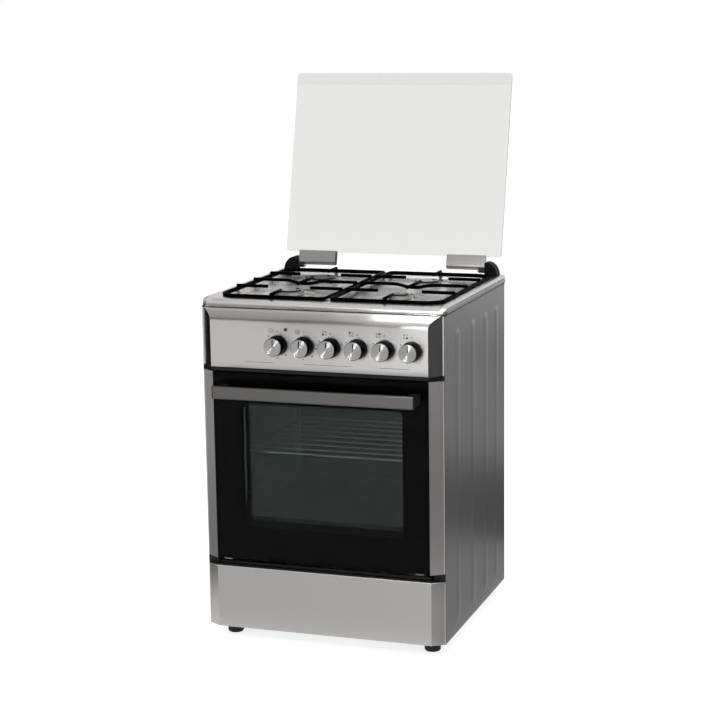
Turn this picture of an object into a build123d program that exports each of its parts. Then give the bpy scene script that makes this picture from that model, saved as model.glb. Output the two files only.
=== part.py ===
from build123d import *
import os
from math import cos, radians, sin

# A free-standing gas cooker, 60 cm wide: four burners under a hinged glass lid, an oven
# behind a drop-down glass door, and a drawer below it. Sizes are in millimetres.
# X runs to the right, +Y to the back and +Z up. The origin is on the floor, under the
# middle of the box round the whole cooker with its lid open.
# Depths below are counted back from the front edges of the side panels.

os.makedirs("parts", exist_ok=True)

# Cabinet
body_width = 594.0
body_depth = 540.0
body_bottom = 32.0
body_top = 808.0
sheet = 1.2
half = body_width / 2
inner_half = half - sheet

# How far a cut runs past the face that it opens
past = 1.0

# Front parts and how far they stand ahead of the side panels
panel_reach = 26.0
panel_corner = 30.0
panel_bottom = 671.0
door_reach = 20.0
door_corner = 31.5
door_bottom = 203.0
door_top = 659.0
drawer_reach = 18.0
drawer_corner = 29.5
drawer_top = 184.0
handle_reach = 74.5

# Hob
hob_width = 600.0
hob_front = -4.0
hob_back = 545.0
hob_rim_top = 826.0
hob_well_depth = 8.0
hob_well_half = 267.0
hob_well_front = 54.0
hob_well_back = 499.0

# Burners: place, radius of the head and of the cap
burner_x = 140.0
burner_front = 166.0
burner_rear = 388.0
burners = [
    (-burner_x, burner_front, 37.0, 30.0),
    (-burner_x, burner_rear, 47.0, 39.0),
    (burner_x, burner_rear, 37.0, 30.0),
    (burner_x, burner_front, 27.0, 21.0),
]

# Lid
lid_width = 578.0
lid_height = 469.0
lid_thickness = 4.0
lid_lean = 14.0
lid_axis_depth = 524.4
lid_axis_z = 838.0
lid_offset = 7.0
lid_start = 36.6

# Oven cavity
cavity_half = 228.0
cavity_bottom = 303.0
cavity_top = 623.0
cavity_back = 455.0
frame_front = 27.0
frame_sheet = 1.5

# Door hinge axis, in the foot of the door so that nothing swings back past the cabinet
door_axis_depth = -10.0
door_axis_z = 204.0
door_hinge_x = 240.0

# Knobs: two for the oven, then four for the burners
knob_z = 729.0
knob_pitch = 65.2
knob_first = -98.0
knob_x = [knob_first + knob_pitch * number for number in range(6)]
spindle_radius = 4.0
running_gap = 0.05

# The origin lies midway between the handle and the top of the leaning lid
lean = radians(lid_lean)
lid_reach = (
    lid_axis_depth
    + (lid_start + lid_height) * sin(lean)
    + (lid_offset + lid_thickness / 2) * cos(lean)
)
front_y = (handle_reach - lid_reach) / 2


def back(depth):
    """Y of a point this far behind the front edges of the side panels."""
    return front_y + depth


def block(x, depth, z, mode=Mode.ADD):
    """Add or cut a box from its low and high values on each axis."""
    spans = (x, depth, z)
    size = [high - low for low, high in spans]
    middle = [(low + high) / 2 for low, high in spans]
    with Locations((middle[0], back(middle[1]), middle[2])):
        Box(*size, mode=mode)


def rod(start, end, radius, mode=Mode.ADD):
    """Add or cut a round bar between two points given as x, depth, z."""
    low = Vector(start[0], back(start[1]), start[2])
    high = Vector(end[0], back(end[1]), end[2])
    with Locations(Plane(origin=low, z_dir=high - low).location):
        Cylinder(
            radius,
            (high - low).length,
            align=(Align.CENTER, Align.CENTER, Align.MIN),
            mode=mode,
        )


def bent_rod(points, bend, radius, closed=False):
    """Add a round bar along x, depth, z points, with its corners bent to a radius."""
    route = [(x, back(depth), z) for x, depth, z in points]
    with BuildLine(mode=Mode.PRIVATE) as path:
        FilletPolyline(*route, radius=bend, close=closed)
    start = Plane(origin=path.line @ 0, z_dir=path.line % 0)
    with BuildSketch(start, mode=Mode.PRIVATE) as section:
        Circle(radius)
    sweep(section.sketch, path=path.line)


def mirrored(x):
    """A span or a place on the right, and its mirror image on the left."""
    low, high = x
    return [(low, high), (-high, -low)]


def corner_outline(reach, corner, z, height, mode=Mode.ADD):
    """Extrude the plan of a front part whose two ends are cut back at a slant."""
    points = [
        (-half, back(0)),
        (-half + corner, back(-reach)),
        (half - corner, back(-reach)),
        (half, back(0)),
    ]
    with BuildSketch(Plane.XY.offset(z), mode=Mode.PRIVATE) as plan:
        with BuildLine():
            Polyline(*points, close=True)
        make_face()
    extrude(plan.sketch, amount=height, mode=mode)


# Base frame: a ring of folded steel that carries the feet and the side panels
base_side_rail = 42.0
base_end_rail = 84.0
base_front = 4.0
base_back = body_depth - 2.0
base_top = body_bottom + 12.0
foot_x = 251.0
foot_depths = (46.0, 494.0)
foot_places = [(x, depth) for x in (-foot_x, foot_x) for depth in foot_depths]
stud_radius = 5.0

with BuildPart() as base_frame:
    block((-inner_half, inner_half), (base_front, base_back), (body_bottom, base_top))
    block(
        (-inner_half + base_side_rail, inner_half - base_side_rail),
        (base_front + base_end_rail, base_back - base_end_rail),
        (body_bottom, base_top),
        Mode.SUBTRACT,
    )
    for x, depth in foot_places:
        rod((x, depth, body_bottom), (x, depth, base_top), stud_radius, Mode.SUBTRACT)

base_frame.part.label = "base_frame"
export_step(base_frame.part, "parts/base_frame.step")


# Feet: four moulded pucks, each on a steel stud
foot_radius = 19.5
foot_chamfer = 3.0
stud_top = base_top + 2.0

with BuildPart() as feet:
    for x, depth in foot_places:
        with BuildPart(mode=Mode.PRIVATE) as puck:
            rod((x, depth, 0), (x, depth, body_bottom), foot_radius)
            chamfer(puck.faces().sort_by(Axis.Z)[0].edges(), foot_chamfer)
            rod((x, depth, body_bottom), (x, depth, stud_top), stud_radius)
        add(puck.part)

feet.part.label = "feet"
export_step(feet.part, "parts/feet.step")


# Side panels: sheet steel with upright stiffening ribs and folded edges
rib_depths = (108.0, 242.0, 356.0, 457.0)
rib_width = 9.0
rib_height = 1.4
rib_bottom = 72.0
rib_top = 752.0
fold_width = 12.0


def side_panel(side):
    """One side panel; side is 1 on the right and -1 on the left."""
    with BuildPart() as panel:
        block((inner_half, half), (0, body_depth), (body_bottom, body_top))
        block((half - fold_width, half), (0, sheet), (body_bottom, panel_bottom))
        block((half - fold_width, half), (body_depth - sheet, body_depth), (body_bottom, body_top))
        for depth in rib_depths:
            rib_foot = (half, back(depth - rib_width / 2))
            rib_crest = (half + rib_height, back(depth))
            rib_end = (half, back(depth + rib_width / 2))
            with BuildSketch(Plane.XY.offset(rib_bottom)):
                with BuildLine():
                    Line(rib_foot, rib_end)
                    ThreePointArc(rib_end, rib_crest, rib_foot)
                make_face()
            extrude(amount=rib_top - rib_bottom)
    if side > 0:
        return panel.part
    return mirror(panel.part, about=Plane.YZ)


for side, name in ((-1, "side_panel_left"), (1, "side_panel_right")):
    with BuildPart() as panel:
        add(side_panel(side))
    panel.part.label = name
    export_step(panel.part, f"parts/{name}.step")


# Back panel: one sheet with two rows of vent slots and holes for the gas and the mains
back_sheet = 1.0
back_half = half - 3.0
back_bottom = 60.0
back_top = body_top - 4.0
vent_width = 44.0
vent_height = 5.0
vent_pitch = 52.0
gas_x = 215.0
gas_z = 756.0
mains_x = -190.0
gas_hole = 15.0
mains_z = 700.0
vent_rows = ((130.0, 10), (640.0, 5))

with BuildPart() as back_panel:
    block((-back_half, back_half), (body_depth, body_depth + back_sheet), (back_bottom, back_top))
    for vent_z, count in vent_rows:
        for number in range(count):
            x = (number - (count - 1) / 2) * vent_pitch
            block(
                (x - vent_width / 2, x + vent_width / 2),
                (body_depth, body_depth + back_sheet),
                (vent_z, vent_z + vent_height),
                Mode.SUBTRACT,
            )
    rod(
        (gas_x, body_depth, gas_z),
        (gas_x, body_depth + back_sheet, gas_z),
        gas_hole,
        Mode.SUBTRACT,
    )

back_panel.part.label = "back_panel"
export_step(back_panel.part, "parts/back_panel.step")


# Deck: the sheet between the drawer space and the oven
deck_z = 198.0
deck_back = body_depth - 3.0

with BuildPart() as middle_deck:
    block((-inner_half, inner_half), (frame_front, deck_back), (deck_z, deck_z + sheet))

middle_deck.part.label = "middle_deck"
export_step(middle_deck.part, "parts/middle_deck.step")


# Front frame: the enamelled sheet round the oven mouth, with its sides folded forward
mouth_corner = 20.0
frame_bottom = deck_z + sheet
frame_back = frame_front + frame_sheet
frame_half = inner_half - 0.2
frame_fold = sheet + 0.3

with BuildPart() as front_frame:
    block((-frame_half, frame_half), (frame_front, frame_back), (frame_bottom, panel_bottom))
    for x in mirrored((frame_half - frame_sheet, frame_half)):
        block(x, (frame_fold, frame_front), (frame_bottom, panel_bottom))
    with BuildSketch(Plane.XZ.offset(-back(frame_back))) as mouth:
        with Locations((0, (cavity_bottom + cavity_top) / 2)):
            RectangleRounded(2 * cavity_half, cavity_top - cavity_bottom, mouth_corner)
    extrude(amount=frame_sheet, mode=Mode.SUBTRACT)

front_frame.part.label = "front_frame"
export_step(front_frame.part, "parts/front_frame.step")


# Strip between the control panel and the door: a moulded black bar
strip_bottom = 661.5
strip_reach = 20.0
strip_half = half - fold_width - 1.0

with BuildPart() as panel_strip:
    corner_outline(strip_reach, door_corner, strip_bottom, panel_bottom - strip_bottom)
    block((-strip_half, strip_half), (0, frame_front), (strip_bottom, panel_bottom))

panel_strip.part.label = "panel_strip"
export_step(panel_strip.part, "parts/panel_strip.step")


# Control panel: pressed steel, its top edge rolled back and its two ends cut at a slant
panel_curve = 26.0
panel_inside = -panel_reach + sheet
spindle_hole = 6.0
lamp_x = -77.0
lamp_z = 766.5
lamp_radius = 4.0

with BuildPart() as control_panel:
    with BuildSketch(Plane.YZ.offset(-half)):
        with BuildLine():
            Polyline(
                (back(0), body_top),
                (back(0), panel_bottom),
                (back(-panel_reach), panel_bottom),
                (back(-panel_reach), body_top - panel_curve),
            )
            RadiusArc((back(-panel_reach), body_top - panel_curve), (back(0), body_top), panel_curve)
        make_face()
    extrude(amount=body_width)
    corner_outline(panel_reach, panel_corner, panel_bottom, body_top - panel_bottom, Mode.INTERSECT)
    offset(amount=-sheet, openings=control_panel.faces().sort_by(Axis.Y)[-1])
    for x in knob_x:
        rod((x, -panel_reach, knob_z), (x, panel_inside, knob_z), spindle_hole, Mode.SUBTRACT)
    rod((lamp_x, -panel_reach, lamp_z), (lamp_x, panel_inside, lamp_z), lamp_radius, Mode.SUBTRACT)

control_panel.part.label = "control_panel"
export_step(control_panel.part, "parts/control_panel.step")


# Pilot lamp: a small moulded lens in the panel
lens_front = -panel_reach - 1.2
lens_back = -panel_reach + 14.0

with BuildPart() as pilot_lamp:
    rod((lamp_x, lens_front, lamp_z), (lamp_x, lens_back, lamp_z), lamp_radius)

pilot_lamp.part.label = "pilot_lamp"
export_step(pilot_lamp.part, "parts/pilot_lamp.step")


# Hob: pressed stainless steel with a rolled rim, a sunken well and four burner holes
hob_half = hob_width / 2
hob_corner = 14.0
hob_edge = 7.0
hob_return = 14.0
rim_wall = 4.5
well_floor = hob_rim_top - hob_well_depth
well_underside = well_floor - sheet
well_corner = 26.0
well_slope = 30.0
well_width = 2 * hob_well_half
well_length = hob_well_back - hob_well_front
well_middle = back((hob_well_front + hob_well_back) / 2)
hole_step = 7.0
electrode_radius = 3.0
electrode_gap = 5.0

with BuildPart() as hob_plate:
    block((-hob_half, hob_half), (hob_front, hob_back), (body_top, hob_rim_top))
    fillet(hob_plate.edges().filter_by(Axis.Z), hob_corner)
    fillet(hob_plate.faces().sort_by(Axis.Z)[-1].edges(), hob_edge)
    with BuildSketch(Plane.XY.offset(hob_rim_top)):
        with Locations((0, well_middle)):
            RectangleRounded(well_width, well_length, well_corner)
    extrude(amount=-hob_well_depth, taper=well_slope, mode=Mode.SUBTRACT)
    with BuildSketch(Plane.XY.offset(well_underside)):
        with Locations((0, back((hob_front + hob_back) / 2))):
            RectangleRounded(
                hob_width - 2 * rim_wall, hob_back - hob_front - 2 * rim_wall, hob_corner - rim_wall
            )
        with Locations((0, well_middle)):
            RectangleRounded(
                well_width + 2 * sheet, well_length + 2 * sheet, well_corner, mode=Mode.SUBTRACT
            )
    extrude(amount=hob_well_depth - sheet, mode=Mode.SUBTRACT)
    block(
        (-hob_half + sheet, hob_half - sheet),
        (hob_front + sheet, hob_back - sheet),
        (body_top + sheet, well_underside),
        Mode.SUBTRACT,
    )
    block(
        (-hob_half + hob_return, hob_half - hob_return),
        (hob_front + hob_return, hob_back - hob_return),
        (body_top, body_top + sheet),
        Mode.SUBTRACT,
    )
    for x, depth, head_radius, cap_radius in burners:
        rod((x, depth, well_underside), (x, depth, well_floor), head_radius - hole_step, Mode.SUBTRACT)
        reach = (head_radius + electrode_gap) * cos(radians(45))
        rod(
            (x + reach, depth + reach, well_underside),
            (x + reach, depth + reach, well_floor),
            electrode_radius,
            Mode.SUBTRACT,
        )

hob_plate.part.label = "hob_plate"
export_step(hob_plate.part, "parts/hob_plate.step")


# Oven liner: the enamelled box, with a flange behind the front frame
liner_sheet = 1.5
liner_flange = 14.0
liner_back = cavity_back + liner_sheet
cavity_middle = (cavity_bottom + cavity_top) / 2
cavity_height = cavity_top - cavity_bottom
element_radius = 3.25
element_end = 495.0
leg_x = 20.0
top_element_z = 603.0
bottom_element_z = 295.5
oven_lamp_x = 150.0
oven_lamp_z = 560.0
oven_lamp_radius = 17.0


def element_legs(z, low, high, radius, mode):
    """The two straight legs of a heating element, where they pass through a wall."""
    for x in (-leg_x, leg_x):
        rod((x, low, z), (x, high, z), radius, mode)


def cavity_outline(margin, mode=Mode.ADD):
    """The rounded outline of the cavity, this much larger on every side."""
    RectangleRounded(
        2 * (cavity_half + margin),
        cavity_height + 2 * margin,
        mouth_corner + margin,
        mode=mode,
    )


with BuildPart() as oven_liner:
    with BuildSketch(Plane.XZ.offset(-back(frame_back))):
        with Locations((0, cavity_middle)):
            cavity_outline(liner_sheet)
    extrude(amount=frame_back - liner_back)
    with BuildSketch(Plane.XZ.offset(-back(frame_back))):
        with Locations((0, cavity_middle)):
            cavity_outline(liner_flange)
    extrude(amount=-liner_sheet)
    with BuildSketch(Plane.XZ.offset(-back(frame_back))):
        with Locations((0, cavity_middle)):
            cavity_outline(0)
    extrude(amount=frame_back - cavity_back, mode=Mode.SUBTRACT)
    element_legs(top_element_z, cavity_back, liner_back, element_radius, Mode.SUBTRACT)
    rod(
        (oven_lamp_x, cavity_back, oven_lamp_z),
        (oven_lamp_x, liner_back, oven_lamp_z),
        oven_lamp_radius,
        Mode.SUBTRACT,
    )

oven_liner.part.label = "oven_liner"
export_step(oven_liner.part, "parts/oven_liner.step")


# Insulation: a mineral wool blanket round the liner, with room below for an element
wool = 25.0
element_space = 12.0

with BuildPart() as insulation:
    wool_front = frame_back + liner_sheet
    wool_half = cavity_half + liner_sheet
    wool_low = cavity_bottom - liner_sheet - element_space
    wool_high = cavity_top + liner_sheet
    block(
        (-wool_half - wool, wool_half + wool),
        (wool_front, liner_back + wool),
        (wool_low - wool, wool_high + wool),
    )
    block((-wool_half, wool_half), (wool_front, liner_back), (wool_low, wool_high), Mode.SUBTRACT)
    for z in (top_element_z, bottom_element_z):
        element_legs(z, liner_back, liner_back + wool, element_radius, Mode.SUBTRACT)
    rod(
        (oven_lamp_x, liner_back, oven_lamp_z),
        (oven_lamp_x, liner_back + wool, oven_lamp_z),
        oven_lamp_radius,
        Mode.SUBTRACT,
    )

insulation.part.label = "insulation"
export_step(insulation.part, "parts/insulation.step")


# Door seal: a ring of woven rope on the face of the front frame
seal_front = 20.6
seal_inner = 4.0
seal_outer = 13.0

with BuildPart() as oven_gasket:
    with BuildSketch(Plane.XZ.offset(-back(frame_front))):
        with Locations((0, cavity_middle)):
            cavity_outline(seal_outer)
            cavity_outline(seal_inner, Mode.SUBTRACT)
    extrude(amount=frame_front - seal_front)

oven_gasket.part.label = "oven_gasket"
export_step(oven_gasket.part, "parts/oven_gasket.step")


# Rack guides: one welded wire ladder on each side wall of the cavity
rack_z = 452.8
guide_x = 217.4
guide_radius = 2.5
guide_drop = 5.1
guide_pitch = 54.0
guide_ends = (66.0, 440.0)
post_x = 222.2
post_radius = 3.0
guide_levels = [rack_z - guide_drop + guide_pitch * step for step in range(-2, 3)]
post_overhang = 14.0
peg_overhang = 8.0
peg_radius = 2.0
wire_front = guide_ends[0] - 8.0
wire_back = guide_ends[1] + 6.0

with BuildPart() as rack_guides:
    for side in (-1, 1):
        with BuildPart(mode=Mode.PRIVATE) as ladder:
            for depth in guide_ends:
                rod(
                    (side * post_x, depth, guide_levels[0] - post_overhang),
                    (side * post_x, depth, guide_levels[-1] + post_overhang),
                    post_radius,
                )
                for z in (guide_levels[0] - peg_overhang, guide_levels[-1] + peg_overhang):
                    rod((side * post_x, depth, z), (side * cavity_half, depth, z), peg_radius)
            for z in guide_levels:
                rod((side * guide_x, wire_front, z), (side * guide_x, wire_back, z), guide_radius)
        add(ladder.part)

rack_guides.part.label = "rack_guides"
export_step(rack_guides.part, "parts/rack_guides.step")


# Heating elements: sheathed tubes bent to one shape, at the top and under the floor
element_bend = 22.0
element_outer = 180.0
element_inner = 90.0
element_front = 80.0
element_turn = 350.0
element_rear = 420.0
element_half = [
    (element_inner, element_turn),
    (element_inner, element_front),
    (element_outer, element_front),
    (element_outer, element_rear),
    (leg_x, element_rear),
    (leg_x, element_end),
]
element_plan = [(-x, depth) for x, depth in reversed(element_half)] + element_half

for name, z in (("top_element", top_element_z), ("bottom_element", bottom_element_z)):
    with BuildPart() as element:
        bent_rod([(x, depth, z) for x, depth in element_plan], element_bend, element_radius)
    element.part.label = name
    export_step(element.part, f"parts/{name}.step")


# Oven lamp: a glass cover in the back wall and its holder behind
oven_lamp_front = cavity_back - 16.0
oven_lamp_rim = 5.0
oven_lamp_rim_depth = 3.0
oven_lamp_edge = 6.0

with BuildPart() as oven_lamp:
    rod(
        (oven_lamp_x, oven_lamp_front, oven_lamp_z),
        (oven_lamp_x, element_end, oven_lamp_z),
        oven_lamp_radius,
    )
    rod(
        (oven_lamp_x, cavity_back - oven_lamp_rim_depth, oven_lamp_z),
        (oven_lamp_x, cavity_back, oven_lamp_z),
        oven_lamp_radius + oven_lamp_rim,
    )
    fillet(oven_lamp.faces().sort_by(Axis.Y)[0].edges(), oven_lamp_edge)

oven_lamp.part.label = "oven_lamp"
export_step(oven_lamp.part, "parts/oven_lamp.step")


# Oven controls: the thermostat and the function switch, held by their bushes in the panel
bush_radius = 8.0
control_front = -18.0
control_back = 26.0
control_half = 19.0
bore_end = -2.0

for name, x in (("thermostat", knob_x[0]), ("oven_switch", knob_x[1])):
    with BuildPart() as control:
        block(
            (x - control_half, x + control_half),
            (control_front, control_back),
            (knob_z - control_half, knob_z + control_half),
        )
        rod((x, panel_inside, knob_z), (x, control_front, knob_z), bush_radius)
        rod(
            (x, panel_inside, knob_z),
            (x, bore_end, knob_z),
            spindle_radius + running_gap,
            Mode.SUBTRACT,
        )
    control.part.label = name
    export_step(control.part, f"parts/{name}.step")


# Spark generator: a small sealed box on the back of the control panel
spark_x = -211.0
spark_width = 50.0
spark_back = 8.0
spark_bottom = 702.0
spark_top = 740.0
spark_edge = 3.0

with BuildPart() as spark_generator:
    block(
        (spark_x - spark_width / 2, spark_x + spark_width / 2),
        (panel_inside, spark_back),
        (spark_bottom, spark_top),
    )
    fillet(spark_generator.edges().filter_by(Axis.Y), spark_edge)

spark_generator.part.label = "spark_generator"
export_step(spark_generator.part, "parts/spark_generator.step")


# Gas taps: one brass plug tap behind each burner knob, sitting on the manifold
tap_x = knob_x[2:]
tap_depth = 10.0
tap_radius = 12.0
outlet_radius = 5.0
saddle_radius = 8.0
manifold_radius = 8.0
manifold_z = knob_z - 24.0
outlet_top = knob_z + 18.0

with BuildPart() as gas_taps:
    for x in tap_x:
        with BuildPart(mode=Mode.PRIVATE) as tap:
            rod((x, control_front, knob_z), (x, control_back, knob_z), tap_radius)
            rod((x, panel_inside, knob_z), (x, control_front, knob_z), bush_radius)
            rod((x, tap_depth, knob_z), (x, tap_depth, outlet_top), outlet_radius)
            rod(
                (x, tap_depth, knob_z),
                (x, tap_depth, manifold_z + manifold_radius),
                saddle_radius,
            )
            rod(
                (x, panel_inside, knob_z),
                (x, bore_end, knob_z),
                spindle_radius + running_gap,
                Mode.SUBTRACT,
            )
        add(tap.part)

gas_taps.part.label = "gas_taps"
export_step(gas_taps.part, "parts/gas_taps.step")


# Gas manifold: a steel tube under the taps, round the right side to the inlet at the back
manifold_side = 272.0
manifold_back = 488.0
manifold_start = tap_x[0] - 22.0
manifold_bend = 16.0
inlet_start = 520.0

with BuildPart() as gas_manifold:
    bent_rod(
        [
            (manifold_start, tap_depth, manifold_z),
            (manifold_side, tap_depth, manifold_z),
            (manifold_side, manifold_back, manifold_z),
            (manifold_side, manifold_back, gas_z),
            (gas_x, manifold_back, gas_z),
            (gas_x, inlet_start, gas_z),
        ],
        manifold_bend,
        manifold_radius,
    )

gas_manifold.part.label = "gas_manifold"
export_step(gas_manifold.part, "parts/gas_manifold.step")


# Gas inlet: a half-inch threaded stub with a hexagon flange on the back panel
inlet_radius = 10.48
inlet_flange = 4.0
inlet_length = 15.0
inlet_base = body_depth + back_sheet
inlet_end = inlet_base + inlet_flange + inlet_length
inlet_body = 11.0
inlet_bore = 6.5
hexagon_radius = 18.0

with BuildPart() as gas_inlet:
    rod((gas_x, inlet_start, gas_z), (gas_x, inlet_base, gas_z), inlet_body)
    with BuildSketch(Plane.XZ.offset(-back(inlet_base))):
        with Locations((gas_x, gas_z)):
            RegularPolygon(hexagon_radius, 6)
    extrude(amount=-inlet_flange)
    rod((gas_x, inlet_base + inlet_flange, gas_z), (gas_x, inlet_end, gas_z), inlet_radius)
    rod((gas_x, inlet_start, gas_z), (gas_x, inlet_end, gas_z), inlet_bore, Mode.SUBTRACT)

gas_inlet.part.label = "gas_inlet"
export_step(gas_inlet.part, "parts/gas_inlet.step")


# Burner cups: die-cast holders for the jets, hung under the hob
boss_radius = 16.0
boss_bottom = 748.0
cup_bottom = 782.0
head_bottom = well_floor + 1.0
collar_width = 4.0
collar_height = 2.0

with BuildPart() as burner_cups:
    for x, depth, head_radius, cap_radius in burners:
        cup_radius = head_radius - hole_step
        with BuildPart(mode=Mode.PRIVATE) as cup:
            rod((x, depth, boss_bottom), (x, depth, cup_bottom), boss_radius)
            rod((x, depth, cup_bottom), (x, depth, head_bottom), cup_radius)
            rod(
                (x, depth, well_underside - collar_height),
                (x, depth, well_underside),
                cup_radius + collar_width,
            )
        add(cup.part)

burner_cups.part.label = "burner_cups"
export_step(burner_cups.part, "parts/burner_cups.step")


# Burner heads: aluminium rings with a row of flame ports
head_top = 827.0
head_taper = 3.0
port_width = 2.0
port_length = 6.0
port_height = 3.0
port_inset = 2.5
ports_per_millimetre = 0.65

with BuildPart() as burner_heads:
    for x, depth, head_radius, cap_radius in burners:
        ports = round(head_radius * ports_per_millimetre)
        with BuildPart(mode=Mode.PRIVATE) as head:
            with Locations((x, back(depth), (head_bottom + head_top) / 2)):
                Cone(head_radius, head_radius - head_taper, head_top - head_bottom)
            with Locations((x, back(depth), head_top - port_height / 2)):
                with PolarLocations(head_radius - port_inset, ports):
                    Box(port_length, port_width, port_height, mode=Mode.SUBTRACT)
        add(head.part)

burner_heads.part.label = "burner_heads"
export_step(burner_heads.part, "parts/burner_heads.step")


# Burner caps: enamelled discs that lie loose on the heads
cap_thickness = 4.5
cap_edge = 2.0

with BuildPart() as burner_caps:
    for x, depth, head_radius, cap_radius in burners:
        with BuildPart(mode=Mode.PRIVATE) as cap:
            rod((x, depth, head_top), (x, depth, head_top + cap_thickness), cap_radius)
            fillet(cap.faces().sort_by(Axis.Z)[-1].edges(), cap_edge)
        add(cap.part)

burner_caps.part.label = "burner_caps"
export_step(burner_caps.part, "parts/burner_caps.step")


# Spark electrodes: one glazed ceramic post with a steel tip beside each burner
ceramic_bottom = 792.0
ceramic_top = 823.0
tip_top = 828.0
tip_radius = 1.0

with BuildPart() as spark_electrodes:
    for x, depth, head_radius, cap_radius in burners:
        reach = (head_radius + electrode_gap) * cos(radians(45))
        place = (x + reach, depth + reach)
        with BuildPart(mode=Mode.PRIVATE) as electrode:
            rod((*place, ceramic_bottom), (*place, ceramic_top), electrode_radius)
            rod((*place, ceramic_top), (*place, tip_top), tip_radius)
        add(electrode.part)

spark_electrodes.part.label = "spark_electrodes"
export_step(spark_electrodes.part, "parts/spark_electrodes.step")


# Burner pipes: thin aluminium tubes from the taps to the jets, each on its own route
pipe_radius = 3.0
pipe_bend = 8.0
pipe_z = 758.0
high_pipe_z = 772.0
pipe_routes = [
    (tap_x[0], 80.0, burners[0], pipe_z),
    (tap_x[1], 300.0, burners[1], pipe_z),
    (tap_x[2], 330.0, burners[2], pipe_z),
    (tap_x[3], 110.0, burners[3], high_pipe_z),
]

with BuildPart() as burner_pipes:
    for x, turn, (end_x, end_depth, head_radius, cap_radius), z in pipe_routes:
        with BuildPart(mode=Mode.PRIVATE) as pipe:
            bent_rod(
                [
                    (x, tap_depth, outlet_top),
                    (x, tap_depth, z),
                    (x, turn, z),
                    (end_x, turn, z),
                    (end_x, end_depth - boss_radius, z),
                ],
                pipe_bend,
                pipe_radius,
            )
        add(pipe.part)

burner_pipes.part.label = "burner_pipes"
export_step(burner_pipes.part, "parts/burner_pipes.step")


# Mains terminal box: a moulded cover on the back panel, with a cable gland below
gland_radius = 5.5
gland_length = 14.0
box_half_width = 36.0
box_half_height = 26.0
box_wall = 2.0
box_depth = 28.0
box_edge = 4.0
gland_wall = 4.0
gland_depth = inlet_base + box_depth / 2
box_bottom = mains_z - box_half_height
gland_bottom = box_bottom - gland_length + box_wall

with BuildPart() as terminal_box:
    block(
        (mains_x - box_half_width, mains_x + box_half_width),
        (inlet_base, inlet_base + box_depth),
        (box_bottom, mains_z + box_half_height),
    )
    fillet(terminal_box.edges().filter_by(Axis.Y), box_edge)
    rod(
        (mains_x, gland_depth, gland_bottom),
        (mains_x, gland_depth, box_bottom),
        gland_radius + gland_wall,
    )
    block(
        (mains_x - box_half_width + box_wall, mains_x + box_half_width - box_wall),
        (inlet_base, inlet_base + box_depth - box_wall),
        (box_bottom + box_wall, mains_z + box_half_height - box_wall),
        Mode.SUBTRACT,
    )
    rod(
        (mains_x, gland_depth, gland_bottom),
        (mains_x, gland_depth, box_bottom + box_wall),
        gland_radius,
        Mode.SUBTRACT,
    )

terminal_box.part.label = "terminal_box"
export_step(terminal_box.part, "parts/terminal_box.step")


# Screws: the fixings of the back panel
screw_radius = 4.0
screw_head = 2.5
screw_x = half - 12.0
screw_heights = (90.0, 330.0, 570.0, 790.0)

with BuildPart() as back_screws:
    for x in (-screw_x, screw_x):
        for z in screw_heights:
            rod((x, inlet_base, z), (x, inlet_base + screw_head, z), screw_radius)

back_screws.part.label = "back_screws"
export_step(back_screws.part, "parts/back_screws.step")


# Drawer rails: one folded angle on each side panel
rail_bottom = 46.2
rail_sheet = 1.5
rail_inner = 262.0
rail_top = 80.0
rail_span = (5.0, 500.0)

with BuildPart() as drawer_rails:
    for side in (0, 1):
        ledge = mirrored((rail_inner, inner_half))[side]
        upright = mirrored((inner_half - rail_sheet, inner_half))[side]
        with BuildPart(mode=Mode.PRIVATE) as rail:
            block(ledge, rail_span, (rail_bottom, rail_bottom + rail_sheet))
            block(upright, rail_span, (rail_bottom, rail_top))
        add(rail.part)

drawer_rails.part.label = "drawer_rails"
export_step(drawer_rails.part, "parts/drawer_rails.step")


# Door hinges: a plate on the front frame, a lug and the fixed pin that the door turns on
hinge_radius = 5.5
door_pin_radius = 3.0
lug_half = 4.0
plate_front = 24.5
plate_half = 12.0
plate_bottom = 200.0
plate_top = 258.0
pin_half = 10.0

with BuildPart() as door_hinges:
    for x in (-door_hinge_x, door_hinge_x):
        with BuildPart(mode=Mode.PRIVATE) as hinge:
            block(
                (x - plate_half, x + plate_half),
                (plate_front, frame_front),
                (plate_bottom, plate_top),
            )
            block(
                (x - lug_half, x + lug_half),
                (door_axis_depth, plate_front),
                (door_axis_z - hinge_radius, door_axis_z + hinge_radius),
            )
            rod(
                (x - lug_half, door_axis_depth, door_axis_z),
                (x + lug_half, door_axis_depth, door_axis_z),
                hinge_radius,
            )
            rod(
                (x - pin_half, door_axis_depth, door_axis_z),
                (x + pin_half, door_axis_depth, door_axis_z),
                door_pin_radius,
            )
        add(hinge.part)

door_hinges.part.label = "door_hinges"
export_step(door_hinges.part, "parts/door_hinges.step")


# Lid hinge blocks: moulded domes on the back of the hob, each holding a steel pin
block_inner = 252.7
block_flat = 2.0
block_radius = 38.0
block_front = 509.5
block_back = 543.0
block_flat_end = block_inner + block_flat
block_top = hob_rim_top + block_radius
lid_pin_radius = 3.0
lid_pin_end = block_inner + 22.0

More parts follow.
